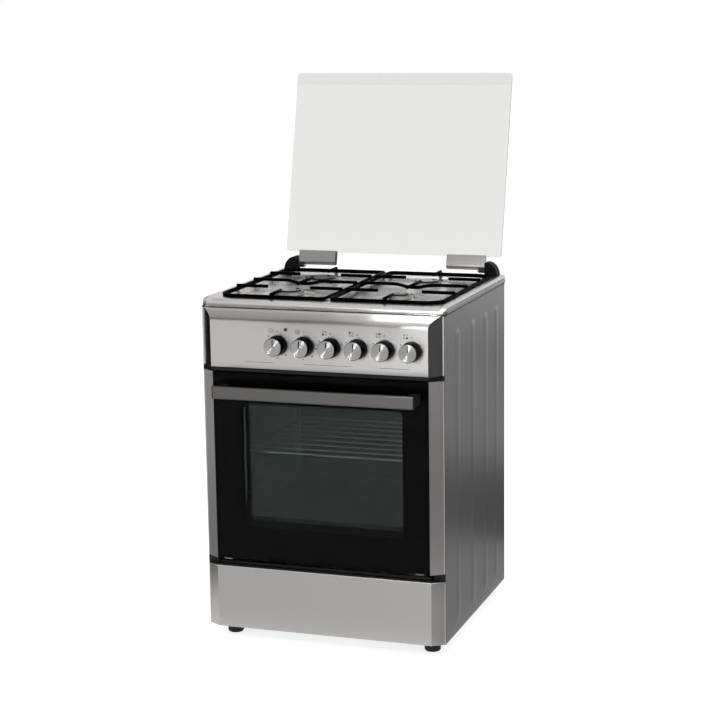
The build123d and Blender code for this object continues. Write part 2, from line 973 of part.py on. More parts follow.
with BuildPart() as hinge_blocks:
    for side in (-1, 1):
        dome_top = (side * block_flat_end, block_top)
        dome_shoulder = (
            side * (block_flat_end + block_radius * sin(radians(45))),
            hob_rim_top + block_radius * cos(radians(45)),
        )
        dome_foot = (side * (block_flat_end + block_radius), hob_rim_top)
        with BuildPart(mode=Mode.PRIVATE) as dome:
            with BuildSketch(Plane.XZ.offset(-back(block_back))):
                with BuildLine():
                    Polyline(
                        dome_foot,
                        (side * block_inner, hob_rim_top),
                        (side * block_inner, block_top),
                        dome_top,
                    )
                    ThreePointArc(dome_top, dome_shoulder, dome_foot)
                make_face()
            extrude(amount=block_back - block_front)
            rod(
                (side * block_inner, lid_axis_depth, lid_axis_z),
                (side * lid_pin_end, lid_axis_depth, lid_axis_z),
                lid_pin_radius,
                Mode.SUBTRACT,
            )
        add(dome.part)

hinge_blocks.part.label = "hinge_blocks"
export_step(hinge_blocks.part, "parts/hinge_blocks.step")


# Lid pins: fixed in the blocks and running through the barrels of the lid clips
clip_inner = 153.0
clip_outer = 252.2
lid_pin_start = clip_inner - 4.0

with BuildPart() as lid_pins:
    for side in (-1, 1):
        rod(
            (side * lid_pin_start, lid_axis_depth, lid_axis_z),
            (side * lid_pin_end, lid_axis_depth, lid_axis_z),
            lid_pin_radius,
        )

lid_pins.part.label = "lid_pins"
export_step(lid_pins.part, "parts/lid_pins.step")


# Lid glass: one tempered pane; lid_plane has its origin on the hinge axis, its first
# direction through the pane towards the back and its second up the pane
lid_corner = 10.0
lid_plane = Plane(
    origin=(0, back(lid_axis_depth), lid_axis_z),
    x_dir=(0, cos(lean), -sin(lean)),
    z_dir=(1, 0, 0),
)

with BuildPart() as lid_glass:
    with BuildSketch(lid_plane.offset(-lid_width / 2)):
        with Locations((lid_offset, lid_start + lid_height / 2)):
            Rectangle(lid_thickness, lid_height)
    extrude(amount=lid_width)
    fillet(
        lid_glass.edges().filter_by(lambda edge: abs(edge.length - lid_thickness) < 0.01),
        lid_corner,
    )

lid_glass.part.label = "lid_glass"
export_step(lid_glass.part, "parts/lid_glass.step")


# Lid clips: folded stainless steel with a rolled barrel, gripping the foot of the pane
barrel_radius = 6.2
clip_sheet = 2.0
clip_gap = 0.4
clip_front = lid_offset - lid_thickness / 2 - clip_gap - clip_sheet
clip_back = lid_offset + lid_thickness / 2 + clip_gap
clip_top = 42.0
clip_back_top = 44.0
web_low = lid_start - 4.0

with BuildPart() as lid_clips:
    for side in (0, 1):
        low, high = mirrored((clip_inner, clip_outer))[side]
        with BuildPart(mode=Mode.PRIVATE) as clip:
            with BuildSketch(lid_plane.offset(low)):
                Circle(barrel_radius)
                with Locations((clip_front, 0)):
                    Rectangle(clip_sheet, clip_top, align=Align.MIN)
                with Locations((clip_front, web_low)):
                    Rectangle(clip_back + clip_sheet - clip_front, clip_sheet, align=Align.MIN)
                with Locations((clip_back, web_low)):
                    Rectangle(clip_sheet, clip_back_top - web_low, align=Align.MIN)
                Circle(lid_pin_radius + running_gap, mode=Mode.SUBTRACT)
            extrude(amount=high - low)
        add(clip.part)

lid_clips.part.label = "lid_clips"
export_step(lid_clips.part, "parts/lid_clips.step")


# Door glass, outside: one printed pane between the side trims
glass_thickness = 4.0
door_glass_half = half - door_corner
glass_back = -door_reach + glass_thickness

with BuildPart() as door_glass_outer:
    block((-door_glass_half, door_glass_half), (-door_reach, glass_back), (door_bottom, door_top))

door_glass_outer.part.label = "door_glass_outer"
export_step(door_glass_outer.part, "parts/door_glass_outer.step")


# Door frame: a stepped tray of enamelled steel that carries both panes
door_gap = 0.4
tray_half = 262.0
tray_bottom = 232.0
tray_top = 650.0
tray_back = 20.0
tray_edge = 6.0
tray_wall = 6.0
skirt_half = door_glass_half - 0.1
skirt_bottom = door_bottom + 1.0
skirt_top = door_top - 1.0
window_half = 206.0
window_bottom = 304.0
window_top = 574.0
window_corner = 14.0
slot_half = 10.5
slot_bottom = 200.0
slot_top = 216.0

with BuildPart() as door_frame:
    block((-tray_half, tray_half), (-door_gap, tray_back), (tray_bottom, tray_top))
    fillet(door_frame.faces().sort_by(Axis.Y)[-1].edges(), tray_edge)
    block((-skirt_half, skirt_half), (glass_back, -door_gap), (skirt_bottom, skirt_top))
    block(
        (-tray_half + tray_wall, tray_half - tray_wall),
        (-door_gap - sheet, tray_back - sheet),
        (tray_bottom + tray_wall, tray_top - tray_wall),
        Mode.SUBTRACT,
    )
    block(
        (-skirt_half + sheet, skirt_half - sheet),
        (glass_back, -door_gap - sheet),
        (skirt_bottom + sheet, skirt_top - sheet),
        Mode.SUBTRACT,
    )
    with BuildSketch(Plane.XZ.offset(-back(tray_back))):
        with Locations((0, (window_bottom + window_top) / 2)):
            RectangleRounded(2 * window_half, window_top - window_bottom, window_corner)
    extrude(amount=2 * sheet, mode=Mode.SUBTRACT)
    for x in (-door_hinge_x, door_hinge_x):
        block(
            (x - slot_half, x + slot_half),
            (glass_back, tray_back),
            (slot_bottom, slot_top),
            Mode.SUBTRACT,
        )

door_frame.part.label = "door_frame"
export_step(door_frame.part, "parts/door_frame.step")


# Door glass, inside: a smaller pane behind the window of the frame
inner_glass_margin = 12.0

with BuildPart() as door_glass_inner:
    block(
        (-window_half - inner_glass_margin, window_half + inner_glass_margin),
        (tray_back - sheet - glass_thickness, tray_back - sheet),
        (window_bottom - inner_glass_margin, window_top + inner_glass_margin),
    )

door_glass_inner.part.label = "door_glass_inner"
export_step(door_glass_inner.part, "parts/door_glass_inner.step")


# Door trims: folded stainless strips that close the slanted sides of the door
trim_sheet = 1.8
trim_inner = door_glass_half + 0.2
trim_outer = half - 0.6
trim_lap = 3.2
trim_return = -6.0

with BuildPart() as door_trims:
    for side in (-1, 1):
        with BuildPart(mode=Mode.PRIVATE) as trim:
            with BuildSketch(Plane.XY.offset(door_bottom)):
                with BuildLine():
                    Polyline(
                        (side * trim_inner, back(-door_reach)),
                        (side * trim_outer, back(-door_gap)),
                        (side * (trim_outer - trim_lap), back(-door_gap)),
                        (side * (trim_inner + trim_sheet), back(-door_reach + trim_lap)),
                        (side * (trim_inner + trim_sheet), back(trim_return)),
                        (side * trim_inner, back(trim_return)),
                        close=True,
                    )
                make_face()
            extrude(amount=door_top - door_bottom)
            for z in (door_bottom, door_top - sheet):
                with BuildSketch(Plane.XY.offset(z)):
                    with BuildLine():
                        Polyline(
                            (side * trim_inner, back(-door_reach)),
                            (side * trim_outer, back(-door_gap)),
                            (side * trim_inner, back(-door_gap)),
                            close=True,
                        )
                    make_face()
                extrude(amount=sheet)
        add(trim.part)

door_trims.part.label = "door_trims"
export_step(door_trims.part, "parts/door_trims.step")


# Door handle: a flat stainless tube
handle_half = 244.0
handle_bottom = 604.0
handle_top = 634.0
handle_thickness = 12.0
handle_back = -handle_reach + handle_thickness
handle_wall = 1.5
handle_edge = 3.0

with BuildPart() as door_handle:
    block((-handle_half, handle_half), (-handle_reach, handle_back), (handle_bottom, handle_top))
    fillet(door_handle.edges().filter_by(Axis.X), handle_edge)
    block(
        (-handle_half, handle_half),
        (-handle_reach + handle_wall, handle_back - handle_wall),
        (handle_bottom + handle_wall, handle_top - handle_wall),
        Mode.SUBTRACT,
    )

door_handle.part.label = "door_handle"
export_step(door_handle.part, "parts/door_handle.step")


# Handle brackets: moulded end caps, each with the post that stands on the door
post_inner = 224.0
cap_end = 246.2
post_bottom = handle_bottom + 4.0
post_top = handle_top - 4.0

with BuildPart() as handle_brackets:
    for side in (0, 1):
        with BuildPart(mode=Mode.PRIVATE) as bracket:
            block(
                mirrored((post_inner, cap_end))[side],
                (handle_back, -door_reach),
                (post_bottom, post_top),
            )
            block(
                mirrored((handle_half, cap_end))[side],
                (-handle_reach, handle_back),
                (handle_bottom, handle_top),
            )
        add(bracket.part)

handle_brackets.part.label = "handle_brackets"
export_step(handle_brackets.part, "parts/handle_brackets.step")


# Door hinge arms: two eyes and a strap on each side, inside the door
arm_top = 300.0
strap_low = 220.0
eye_inner = 4.6
eye_outer = 9.4
strap_gap = 1.0

with BuildPart() as door_hinge_arms:
    for x in (-door_hinge_x, door_hinge_x):
        with BuildPart(mode=Mode.PRIVATE) as arm:
            for low, high in mirrored((eye_inner, eye_outer)):
                rod(
                    (x + low, door_axis_depth, door_axis_z),
                    (x + high, door_axis_depth, door_axis_z),
                    hinge_radius,
                )
                block(
                    (x + low, x + high),
                    (door_axis_depth - hinge_radius, door_axis_depth + hinge_radius),
                    (door_axis_z, arm_top),
                )
            block(
                (x - eye_outer, x + eye_outer),
                (door_axis_depth + strap_gap, door_axis_depth + hinge_radius),
                (strap_low, arm_top),
            )
            rod(
                (x - eye_outer, door_axis_depth, door_axis_z),
                (x + eye_outer, door_axis_depth, door_axis_z),
                door_pin_radius + running_gap,
                Mode.SUBTRACT,
            )
        add(arm.part)

door_hinge_arms.part.label = "door_hinge_arms"
export_step(door_hinge_arms.part, "parts/door_hinge_arms.step")


# Drawer front: pressed steel, with slanted ends and rounded lower corners
drawer_front_corner = 8.0

with BuildPart() as drawer_front:
    corner_outline(drawer_reach, drawer_corner, body_bottom, drawer_top - body_bottom)
    with BuildSketch(Plane.XZ.offset(-back(0))) as face:
        with Locations((0, body_bottom)):
            Rectangle(body_width, drawer_top - body_bottom, align=(Align.CENTER, Align.MIN))
        fillet(face.vertices().group_by(Axis.Z)[0], drawer_front_corner)
    extrude(amount=drawer_reach, mode=Mode.INTERSECT)
    block((-half, half), (-door_gap, past), (body_bottom, drawer_top), Mode.SUBTRACT)
    offset(amount=-sheet, openings=drawer_front.faces().sort_by(Axis.Y)[-1])

drawer_front.part.label = "drawer_front"
export_step(drawer_front.part, "parts/drawer_front.step")


# Drawer grip: a moulded black lip along the top of the drawer front
grip_reach = 14.0
grip_ledge = drawer_top + 3.0
grip_top = 193.0
grip_corner = drawer_corner - 6.0
grip_half = half - drawer_corner - 4.0
grip_lip = (-4.0, -1.0)

with BuildPart() as drawer_grip:
    corner_outline(grip_reach, grip_corner, drawer_top, grip_ledge - drawer_top)
    block((-half, half), (-door_gap, past), (drawer_top, grip_ledge), Mode.SUBTRACT)
    block((-grip_half, grip_half), grip_lip, (drawer_top, grip_top))

drawer_grip.part.label = "drawer_grip"
export_step(drawer_grip.part, "parts/drawer_grip.step")


# Drawer box: folded steel on the rails, behind a plate that closes the drawer front
drawer_half = 278.0
drawer_back = 470.0
drawer_floor = rail_bottom + rail_sheet + 0.5
drawer_rim = 158.0
drawer_plate_half = 282.0
drawer_plate_bottom = 36.0
drawer_plate_top = 180.0

with BuildPart() as drawer_box:
    block((-drawer_half, drawer_half), (-door_gap, drawer_back), (drawer_floor, drawer_rim))
    block(
        (-drawer_half + sheet, drawer_half - sheet),
        (-door_gap + sheet, drawer_back - sheet),
        (drawer_floor + sheet, drawer_rim),
        Mode.SUBTRACT,
    )
    block(
        (-drawer_plate_half, drawer_plate_half),
        (-door_gap, -door_gap + sheet),
        (drawer_plate_bottom, drawer_plate_top),
    )

drawer_box.part.label = "drawer_box"
export_step(drawer_box.part, "parts/drawer_box.step")


# Pan supports: two welded grids of round wire, loose on the hob
wire_radius = 3.5
frame_wire_z = 829.8
finger_z = frame_wire_z + 6.6
grid_outer = 275.7
grid_inner = 8.0
grid_front = 47.5
grid_back = 505.0
finger_reach = 56.0
grid_middle = 276.0
finger_bend = 8.0
finger_lap = 2.0
dip_half = 42.0
dip_start = 58.0
outer_corner = 34.0
grid_corner = 10.0


def pan_support(side):
    """One grid; side is 1 on the right and -1 on the left."""
    with BuildPart() as grid:
        bent_rod(
            [
                (grid_inner, grid_front, frame_wire_z),
                (grid_outer, grid_front, frame_wire_z),
                (grid_outer, grid_back, frame_wire_z),
                (grid_inner, grid_back, frame_wire_z),
            ],
            [grid_corner, outer_corner, grid_corner, grid_corner],
            wire_radius,
            closed=True,
        )
        x_fingers = [
            (grid_inner - finger_lap, burner_x - finger_reach),
            (burner_x + finger_reach, grid_outer + finger_lap),
        ]
        depth_fingers = [
            (grid_front - finger_lap, burner_front - finger_reach),
            (burner_front + finger_reach, burner_rear - finger_reach),
            (burner_rear + finger_reach, grid_back + finger_lap),
        ]
        for low, high in x_fingers:
            for depth in (burner_front, burner_rear):
                rod((low, depth, finger_z), (high, depth, finger_z), wire_radius)
        for low, high in depth_fingers:
            rod((burner_x, low, finger_z), (burner_x, high, finger_z), wire_radius)
        bent_rod(
            [
                (grid_inner - finger_lap, grid_middle, finger_z),
                (burner_x - dip_start, grid_middle, finger_z),
                (burner_x - dip_half, grid_middle, frame_wire_z),
                (burner_x + dip_half, grid_middle, frame_wire_z),
                (burner_x + dip_start, grid_middle, finger_z),
                (grid_outer + finger_lap, grid_middle, finger_z),
            ],
            finger_bend,
            wire_radius,
        )
    if side > 0:
        return grid.part
    return mirror(grid.part, about=Plane.YZ)


for side, name in ((-1, "pan_support_left"), (1, "pan_support_right")):
    with BuildPart() as grid:
        add(pan_support(side))
    grid.part.label = name
    export_step(grid.part, f"parts/{name}.step")


# Oven rack: a frame of plated wire with crossing wires
rack_half = 214.5
rack_front = 58.0
rack_wires = 9
rack_pitch = 48.5
rack_back = rack_front + rack_pitch * (rack_wires - 1)
rack_frame_radius = 3.0
rack_wire_radius = 2.0
rack_bend = 12.0
rack_brace_drop = 3.0

with BuildPart() as oven_rack:
    bent_rod(
        [
            (-rack_half, rack_front, rack_z),
            (rack_half, rack_front, rack_z),
            (rack_half, rack_back, rack_z),
            (-rack_half, rack_back, rack_z),
        ],
        rack_bend,
        rack_frame_radius,
        closed=True,
    )
    for number in range(1, rack_wires - 1):
        depth = rack_front + rack_pitch * number
        rod((-rack_half, depth, rack_z), (rack_half, depth, rack_z), rack_wire_radius)
    brace_z = rack_z - rack_brace_drop
    rod((0, rack_front, brace_z), (0, rack_back, brace_z), rack_wire_radius)

oven_rack.part.label = "oven_rack"
export_step(oven_rack.part, "parts/oven_rack.step")


# Knobs: a tapered moulding with a turned metal face. A burner knob slips over its
# spindle; an oven knob is shown with the shaft that it turns.
knob_base = -30.5
knob_height = 27.5
knob_base_radius = 23.7
knob_tip_radius = 21.6
knob_edge = 0.5
face_radius = 21.0
face_thickness = 1.4
face_gap = 0.1
bore_radius = spindle_radius + running_gap
knob_bore = 16.0
shaft_end = -4.0


def knob_at(x, with_shaft):
    """One knob, with its metal face and, for the oven, its shaft as separate solids."""
    base = Plane(origin=(x, back(knob_base), knob_z), z_dir=(0, -1, 0))
    bore_bottom = knob_base - knob_bore
    face_back = knob_base - knob_height - face_gap
    with BuildPart() as moulding:
        with Locations(base.location):
            Cone(
                knob_base_radius,
                knob_tip_radius,
                knob_height,
                align=(Align.CENTER, Align.CENTER, Align.MIN),
            )
        fillet(moulding.faces().sort_by(Axis.Y)[0].edges(), knob_edge)
        rod((x, knob_base, knob_z), (x, bore_bottom, knob_z), bore_radius, Mode.SUBTRACT)
    with BuildPart() as whole:
        add(moulding.part)
        rod((x, face_back, knob_z), (x, face_back - face_thickness, knob_z), face_radius)
        if with_shaft:
            rod((x, shaft_end, knob_z), (x, bore_bottom + face_gap, knob_z), spindle_radius)
    return whole.part


knob_names = ["knob_thermostat", "knob_function"]
knob_names += [f"knob_burner_{number}" for number in range(1, 5)]

for name, x in zip(knob_names, knob_x):
    with BuildPart() as knob:
        add(knob_at(x, x < 0))
    knob.part.label = name
    export_step(knob.part, f"parts/{name}.step")


# Tap spindles: turned brass, pushed in against a spring before they turn
spindle_end = -7.0
spindle_front = knob_base - knob_bore + 1.0

for number, x in enumerate(tap_x, start=1):
    with BuildPart() as spindle:
        rod((x, spindle_end, knob_z), (x, spindle_front, knob_z), spindle_radius)
    spindle.part.label = f"spindle_{number}"
    export_step(spindle.part, f"parts/spindle_{number}.step")
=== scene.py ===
from math import cos, pi, radians, sin

import bmesh
import bpy
import numpy as np
from mathutils import Matrix, Vector


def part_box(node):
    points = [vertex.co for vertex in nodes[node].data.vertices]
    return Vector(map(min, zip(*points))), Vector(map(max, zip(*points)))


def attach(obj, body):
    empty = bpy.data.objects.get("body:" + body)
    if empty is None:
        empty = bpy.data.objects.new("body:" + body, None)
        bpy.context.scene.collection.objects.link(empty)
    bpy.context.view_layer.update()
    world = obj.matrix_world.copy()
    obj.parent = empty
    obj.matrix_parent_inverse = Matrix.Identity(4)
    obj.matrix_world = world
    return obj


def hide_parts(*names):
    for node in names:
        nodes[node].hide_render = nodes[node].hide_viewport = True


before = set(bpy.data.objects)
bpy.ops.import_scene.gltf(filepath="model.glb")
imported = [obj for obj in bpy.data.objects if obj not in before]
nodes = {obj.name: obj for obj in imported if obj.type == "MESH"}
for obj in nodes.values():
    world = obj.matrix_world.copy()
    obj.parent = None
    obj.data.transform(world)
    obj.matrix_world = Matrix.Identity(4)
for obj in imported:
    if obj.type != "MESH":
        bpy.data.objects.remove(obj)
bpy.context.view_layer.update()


# Camera: a long lens on a stand, a little above the hob and to the right of the cooker,
# where the photograph was taken from.
camera_place = (1.4891, -4.3502, 1.5039)
camera_azimuth, camera_elevation, camera_roll = map(radians, (18.953, 10.626, -0.8))

backward = Vector((
    sin(camera_azimuth) * cos(camera_elevation),
    -cos(camera_azimuth) * cos(camera_elevation),
    sin(camera_elevation),
))
level = Vector((0, 0, 1)).cross(backward).normalized()
upright = backward.cross(level)
camera_x = cos(camera_roll) * level + sin(camera_roll) * upright
camera_y = cos(camera_roll) * upright - sin(camera_roll) * level

camera = bpy.data.objects.new("camera", bpy.data.cameras.new("camera"))
camera.data.lens = 94.89
camera.data.sensor_width = 36.0
camera.data.clip_end = 60.0
camera.matrix_world = (
    Matrix.Translation(camera_place) @ Matrix((camera_x, camera_y, backward)).transposed().to_4x4()
)
bpy.context.scene.collection.objects.link(camera)
bpy.context.scene.camera = camera
bpy.context.scene.view_settings.view_transform = "Standard"


# Studio: a white cove lit by large soft boxes. The cove shows white to the camera, and in
# metal and glass; the floor keeps the shadow of the cooker.
def linear(code):
    """An sRGB hex colour as linear RGBA: the standard curve, with its straight foot below 0.04."""
    parts = np.array([int(code[i:i + 2], 16) for i in (0, 2, 4)]) / 255
    curve = np.where(parts <= 0.04045, parts / 12.92, ((parts + 0.055) / 1.055) ** 2.4)
    return (*curve.tolist(), 1.0)


def add(tree, kind, links=None, **settings):
    """Adds a shader node. Links are its inputs, each a value or another node's output."""
    node = tree.nodes.new("ShaderNode" + kind)
    for name, value in settings.items():
        setattr(node, name, value)
    for name, value in (links or {}).items():
        if isinstance(value, bpy.types.NodeSocket):
            tree.links.new(value, node.inputs[name])
        else:
            node.inputs[name].default_value = value
    return node


def seen_directly(tree):
    """1 for rays from the camera, a gloss or a glass, and 0 for the light on a surface."""
    path = add(tree, "LightPath")
    gloss = add(tree, "Math", {0: path.outputs["Is Camera Ray"], 1: path.outputs["Is Glossy Ray"]},
                operation="MAXIMUM")
    return add(tree, "Math", {0: gloss.outputs[0], 1: path.outputs["Is Transmission Ray"]},
               operation="MAXIMUM").outputs[0]


room_light = 0.55
cove = bpy.data.worlds.new("white_cove")
bpy.context.scene.world = cove
cove.use_nodes = True
cove.cycles.sampling_method = "NONE"
tree = cove.node_tree
tree.nodes.clear()
strength = add(tree, "MapRange", {"Value": seen_directly(tree), "To Min": room_light})
white = add(tree, "Background", {"Color": (1, 1, 1, 1), "Strength": strength.outputs[0]})
tree.links.new(white.outputs[0], add(tree, "OutputWorld").inputs[0])


def grid_faces(rows, columns, close_rows=False, close_columns=False):
    """Corners of the quads of a grid: each joins a point, the next in its row and the two above."""
    row, column = np.meshgrid(
        np.arange(rows if close_rows else rows - 1),
        np.arange(columns if close_columns else columns - 1),
        indexing="ij",
    )
    above, beside = (row + 1) % rows, (column + 1) % columns
    corners = [row * columns + column, row * columns + beside, above * columns + beside,
               above * columns + column]
    return np.stack(corners, -1).reshape(-1, 4)


def new_piece(name, points, faces, material, sharp=32.0):
    """A mesh from points in metres; doubles are merged and all faces turned outwards."""
    mesh = bpy.data.meshes.new(name)
    mesh.from_pydata(np.reshape(points, (-1, 3)).tolist(), [], [list(map(int, f)) for f in faces])
    work = bmesh.new()
    work.from_mesh(mesh)
    bmesh.ops.remove_doubles(work, verts=work.verts, dist=1e-6)
    bmesh.ops.recalc_face_normals(work, faces=work.faces)
    work.to_mesh(mesh)
    work.free()
    mesh.shade_smooth()
    mesh.set_sharp_from_angle(angle=radians(sharp))
    mesh.materials.append(material)
    piece = bpy.data.objects.new(name, mesh)
    bpy.context.scene.collection.objects.link(piece)
    return piece


def new_material(name, colour, roughness, metallic=0.0, ior=1.5, more=None):
    """A material; more are other inputs. Returns the material, its tree and its shader node."""
    material = bpy.data.materials.new(name)
    material.use_nodes = True
    shader = material.node_tree.nodes["Principled BSDF"]
    values = {"Base Color": linear(colour), "Roughness": roughness, "Metallic": metallic,
              "IOR": ior, **(more or {})}
    for socket, value in values.items():
        shader.inputs[socket].default_value = value
    return material, material.node_tree, shader


# Paper floor: matt and white. It takes the light like any paper, and glows just enough for
# the unshaded floor to meet the cove without an edge.
paper_glow, floor_drop = 0.74, 0.0004
floor_paper, tree, shader = new_material("white_paper_matt", "C8C8C8", 0.9, more={
    "Specular IOR Level": 0.0, "Emission Color": (1, 1, 1, 1)})
glow = add(tree, "Math", {0: seen_directly(tree), 1: paper_glow}, operation="MULTIPLY")
tree.links.new(glow.outputs[0], shader.inputs["Emission Strength"])

floor_side = np.linspace(-30, 30, 2)
floor_x, floor_y = np.meshgrid(floor_side, floor_side)
floor_points = np.stack([floor_x, floor_y, 0 * floor_x - floor_drop], -1)
floor = new_piece("floor", floor_points, grid_faces(2, 2), floor_paper)
if floor.data.polygons[0].normal.z < 0:
    floor.data.flip_normals()


def soft_box(name, place, aim, size, power, in_gloss=False):
    """A soft box: an area lamp at a place, turned to face a point."""
    lamp = bpy.data.objects.new(name, bpy.data.lights.new(name, "AREA"))
    lamp.data.shape = "RECTANGLE"
    lamp.data.size, lamp.data.size_y = size
    lamp.data.energy = power
    lamp.location = place
    lamp.rotation_euler = (Vector(aim) - Vector(place)).to_track_quat("-Z", "Y").to_euler()
    lamp.visible_camera = False
    lamp.visible_glossy = lamp.visible_transmission = in_gloss
    bpy.context.scene.collection.objects.link(lamp)


soft_box("soft_box_front", (-2.4, -3.4, 3.0), (0, 0, 0.6), (2.4, 2.4), 90)
soft_box("soft_box_top", (0.5, -0.3, 3.4), (0.5, 0, 0.8), (2.6, 1.6), 40, in_gloss=True)
soft_box("soft_box_right", (3.6, -1.6, 2.4), (0, 0, 0.6), (1.8, 1.8), 15)


# Grey cards: boards that stand round the cooker. Metal mirrors them as the darker bands that
# give it its shape; they throw no shadow and are seen in nothing else.
def grey_card(name, colour, place, facing, size, strength=1.0):
    """A board at a place, turned to face a way, seen in gloss alone."""
    card, tree, shader = new_material("card_" + name, "000000", 1.0, more={
        "Specular IOR Level": 0.0, "Emission Color": linear(colour), "Emission Strength": strength})
    turn = Vector(facing).to_track_quat("-Z", "Y").to_matrix()
    corners = [Vector(place) + turn @ Vector((x * size[0] / 2, y * size[1] / 2, 0))
               for x, y in ((-1, -1), (1, -1), (1, 1), (-1, 1))]
    board = new_piece(name, np.array([list(c) for c in corners]), [[0, 1, 2, 3]], card)
    board.visible_camera = board.visible_diffuse = board.visible_shadow = False
    board.visible_transmission = False


# close to the panel, for its roll; above the hob; a small bright one for the knobs' discs;
# far off, for the lid and the sides; and flat on the paper, for what looks down on it
back, up, down = (0, 1, 0), (0, 0, 1), (0, 0, -1)
for card in (
    ("card_near_left", "202020", (-0.285, -0.44, 0.825), back, (0.15, 0.064)),
    ("card_near_next", "101010", (-0.175, -0.44, 0.82), back, (0.07, 0.072)),
    ("card_near_middle", "000000", (-0.04, -0.44, 0.829), back, (0.20, 0.114)),
    ("card_near_right", "060606", (0.12, -0.44, 0.806), back, (0.12, 0.068)),
    ("card_hood", "B8B8B8", (-0.32, -0.46, 1.0), down, (0.58, 0.40)),
    ("card_hood_edge", "DCDCDC", (0.02, -0.46, 1.0), down, (0.10, 0.40)),
    ("card_spark", "FFFFFF", (-0.32, -3.2, 1.21), (0.37, 2.9, -0.48), (0.36, 0.36), 38.0),
    ("card_lid", "C0C0C0", (-1.3, -3.6, 2.4), (1.3, 3.8, -1.3), (2.8, 1.7)),
    ("card_right", "444444", (3.4, -1.2, 1.0), (-3.4, 1.2, 0), (3.6, 2.2)),
    ("card_left", "040404", (-3.0, 0.9, 1.0), (3.0, -0.9, 0), (5.6, 5.0)),
    ("floor_card_right", "303030", (2.2, -1.0, 0.001), up, (3.2, 3.4)),
    ("floor_card_far", "6C6C6C", (1.9, 3.8, 0.001), up, (2.4, 1.6)),
    ("floor_card_behind", "BEBEBE", (1.5, 2.3, 0.001), up, (2.4, 1.4)),
    ("floor_card_between", "242424", (0.95, 1.15, 0.0015), up, (2.3, 0.9)),
    ("floor_card_beside", "B4B4B4", (1.0, 0.1, 0.002), up, (1.36, 1.2)),
    ("floor_card_left", "0C0C0C", (-2.2, 0.6, 0.001), up, (3.0, 2.6)),
    ("floor_card_front", "E8E8E8", (-0.9, -2.6, 0.001), up, (2.6, 4.4)),
    ("floor_card_ahead", "8C8C8C", (-0.15, -4.3, 0.002), up, (2.1, 1.5)),
):
    grey_card(*card)


# Sizes that the pieces share. Points are counted in millimetres from the middle, from the
# front edges of the side panels and from the floor.
front_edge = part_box("side_panel_left")[0].y * 1000


def at(x, depth, z):
    """Points in metres from x, depth and z in millimetres."""
    x, depth, z = np.broadcast_arrays(x, np.add(depth, front_edge), z)
    return np.stack([x, depth, z], -1) / 1000


def dress(material, *names):
    """Gives CAD nodes their material."""
    for name in names:
        nodes[name].data.materials.clear()
        nodes[name].data.materials.append(material)


def place_in(tree, size, centre=(0, 0, 0)):
    """Object coordinates in millimetres about a centre, divided by one size or by three."""
    spot = add(tree, "TexCoord").outputs["Object"]
    moved = add(tree, "Mapping", {"Vector": spot, "Location": [-c / 1000 for c in centre]})
    scale = [1000 / s for s in np.broadcast_to(size, 3)]
    return add(tree, "Mapping", {"Vector": moved.outputs[0], "Scale": scale}).outputs[0]


def vary(tree, shader, socket, source, low, high):
    """Drives a colour or a number of the shader between two values by a source from 0 to 1."""
    if socket == "Base Color":
        blend = add(tree, "Mix", {0: source, 6: linear(low), 7: linear(high)}, data_type="RGBA")
        tree.links.new(blend.outputs[2], shader.inputs[socket])
    else:
        blend = add(tree, "MapRange", {"Value": source, "To Min": low, "To Max": high})
        tree.links.new(blend.outputs[0], shader.inputs[socket])


def roughen(tree, shader, source, height):
    """Adds relief to the shader: source is 0 to 1, and height its depth in millimetres."""
    bump = add(tree, "Bump", {"Height": source, "Distance": height / 1000, "Strength": 1.0})
    tree.links.new(bump.outputs[0], shader.inputs["Normal"])


def mottled(name, size, colours, roughness, detail=2.0, relief=0.0, gloss=0.5, **values):
    """A finish whose colour and roughness wander between two values, or keep one, in clouds of
    a size in millimetres. Relief is their depth in millimetres, and gloss the specular level."""
    material, tree, shader = new_material(name, colours[0], roughness[0], **values,
                                          more={"Specular IOR Level": gloss})
    clouds = add(tree, "TexNoise", {"Vector": place_in(tree, size), "Detail": detail}).outputs[0]
    for socket, ends in (("Base Color", colours), ("Roughness", roughness)):
        if len(ends) == 2:
            vary(tree, shader, socket, clouds, *ends)
    if relief:
        roughen(tree, shader, clouds, relief)
    return material


# Feet: four moulded pucks on threaded studs, which level the cooker. Satin black plastic
# with a ribbed edge to turn them by and a flat, worn sole.
# The mould is spark-eroded with a grain of a tenth of a millimetre, drawn ten times as wide.
black_plastic = mottled("polypropylene_moulded", 1.2, ["0E0E0F"], (0.34, 0.52),
                        detail=4.0, relief=0.05, gloss=0.25)

foot_places = [(x, depth) for x in (-251, 251) for depth in (46, 494)]


def turned(profile, centre, steps=64, lobes=0, lobe_depth=0.0, axis="z"):
    """Points and faces of a turned shape: each pair of radius and height goes once round the
    axis. With lobes the radius rises and falls that many times, by the lobe depth of each pair."""
    radius, height = np.array(profile, float)[:, :2].T
    turn = np.arange(steps) * 2 * pi / steps
    ripple = np.outer(np.broadcast_to(lobe_depth, radius.shape), 0.5 - 0.5 * np.cos(lobes * turn))
    reach = radius[:, None] - ripple * (lobes > 0)
    along = np.broadcast_to(height[:, None], reach.shape)
    x, depth, z = centre
    if axis == "z":
        points = at(x + reach * np.cos(turn), depth + reach * np.sin(turn), z + along)
    else:
        points = at(x + reach * np.cos(turn), depth - along, z + reach * np.sin(turn))
    return points.reshape(-1, 3), grid_faces(len(radius), steps, close_columns=True)


def together(parts):
    """Joins lists of points and faces into one."""
    starts = np.cumsum([0] + [len(points) for points, faces in parts])
    faces = [[corner + start for corner in face]
             for (points, part), start in zip(parts, starts) for face in part]
    return np.concatenate([points for points, faces in parts]), faces


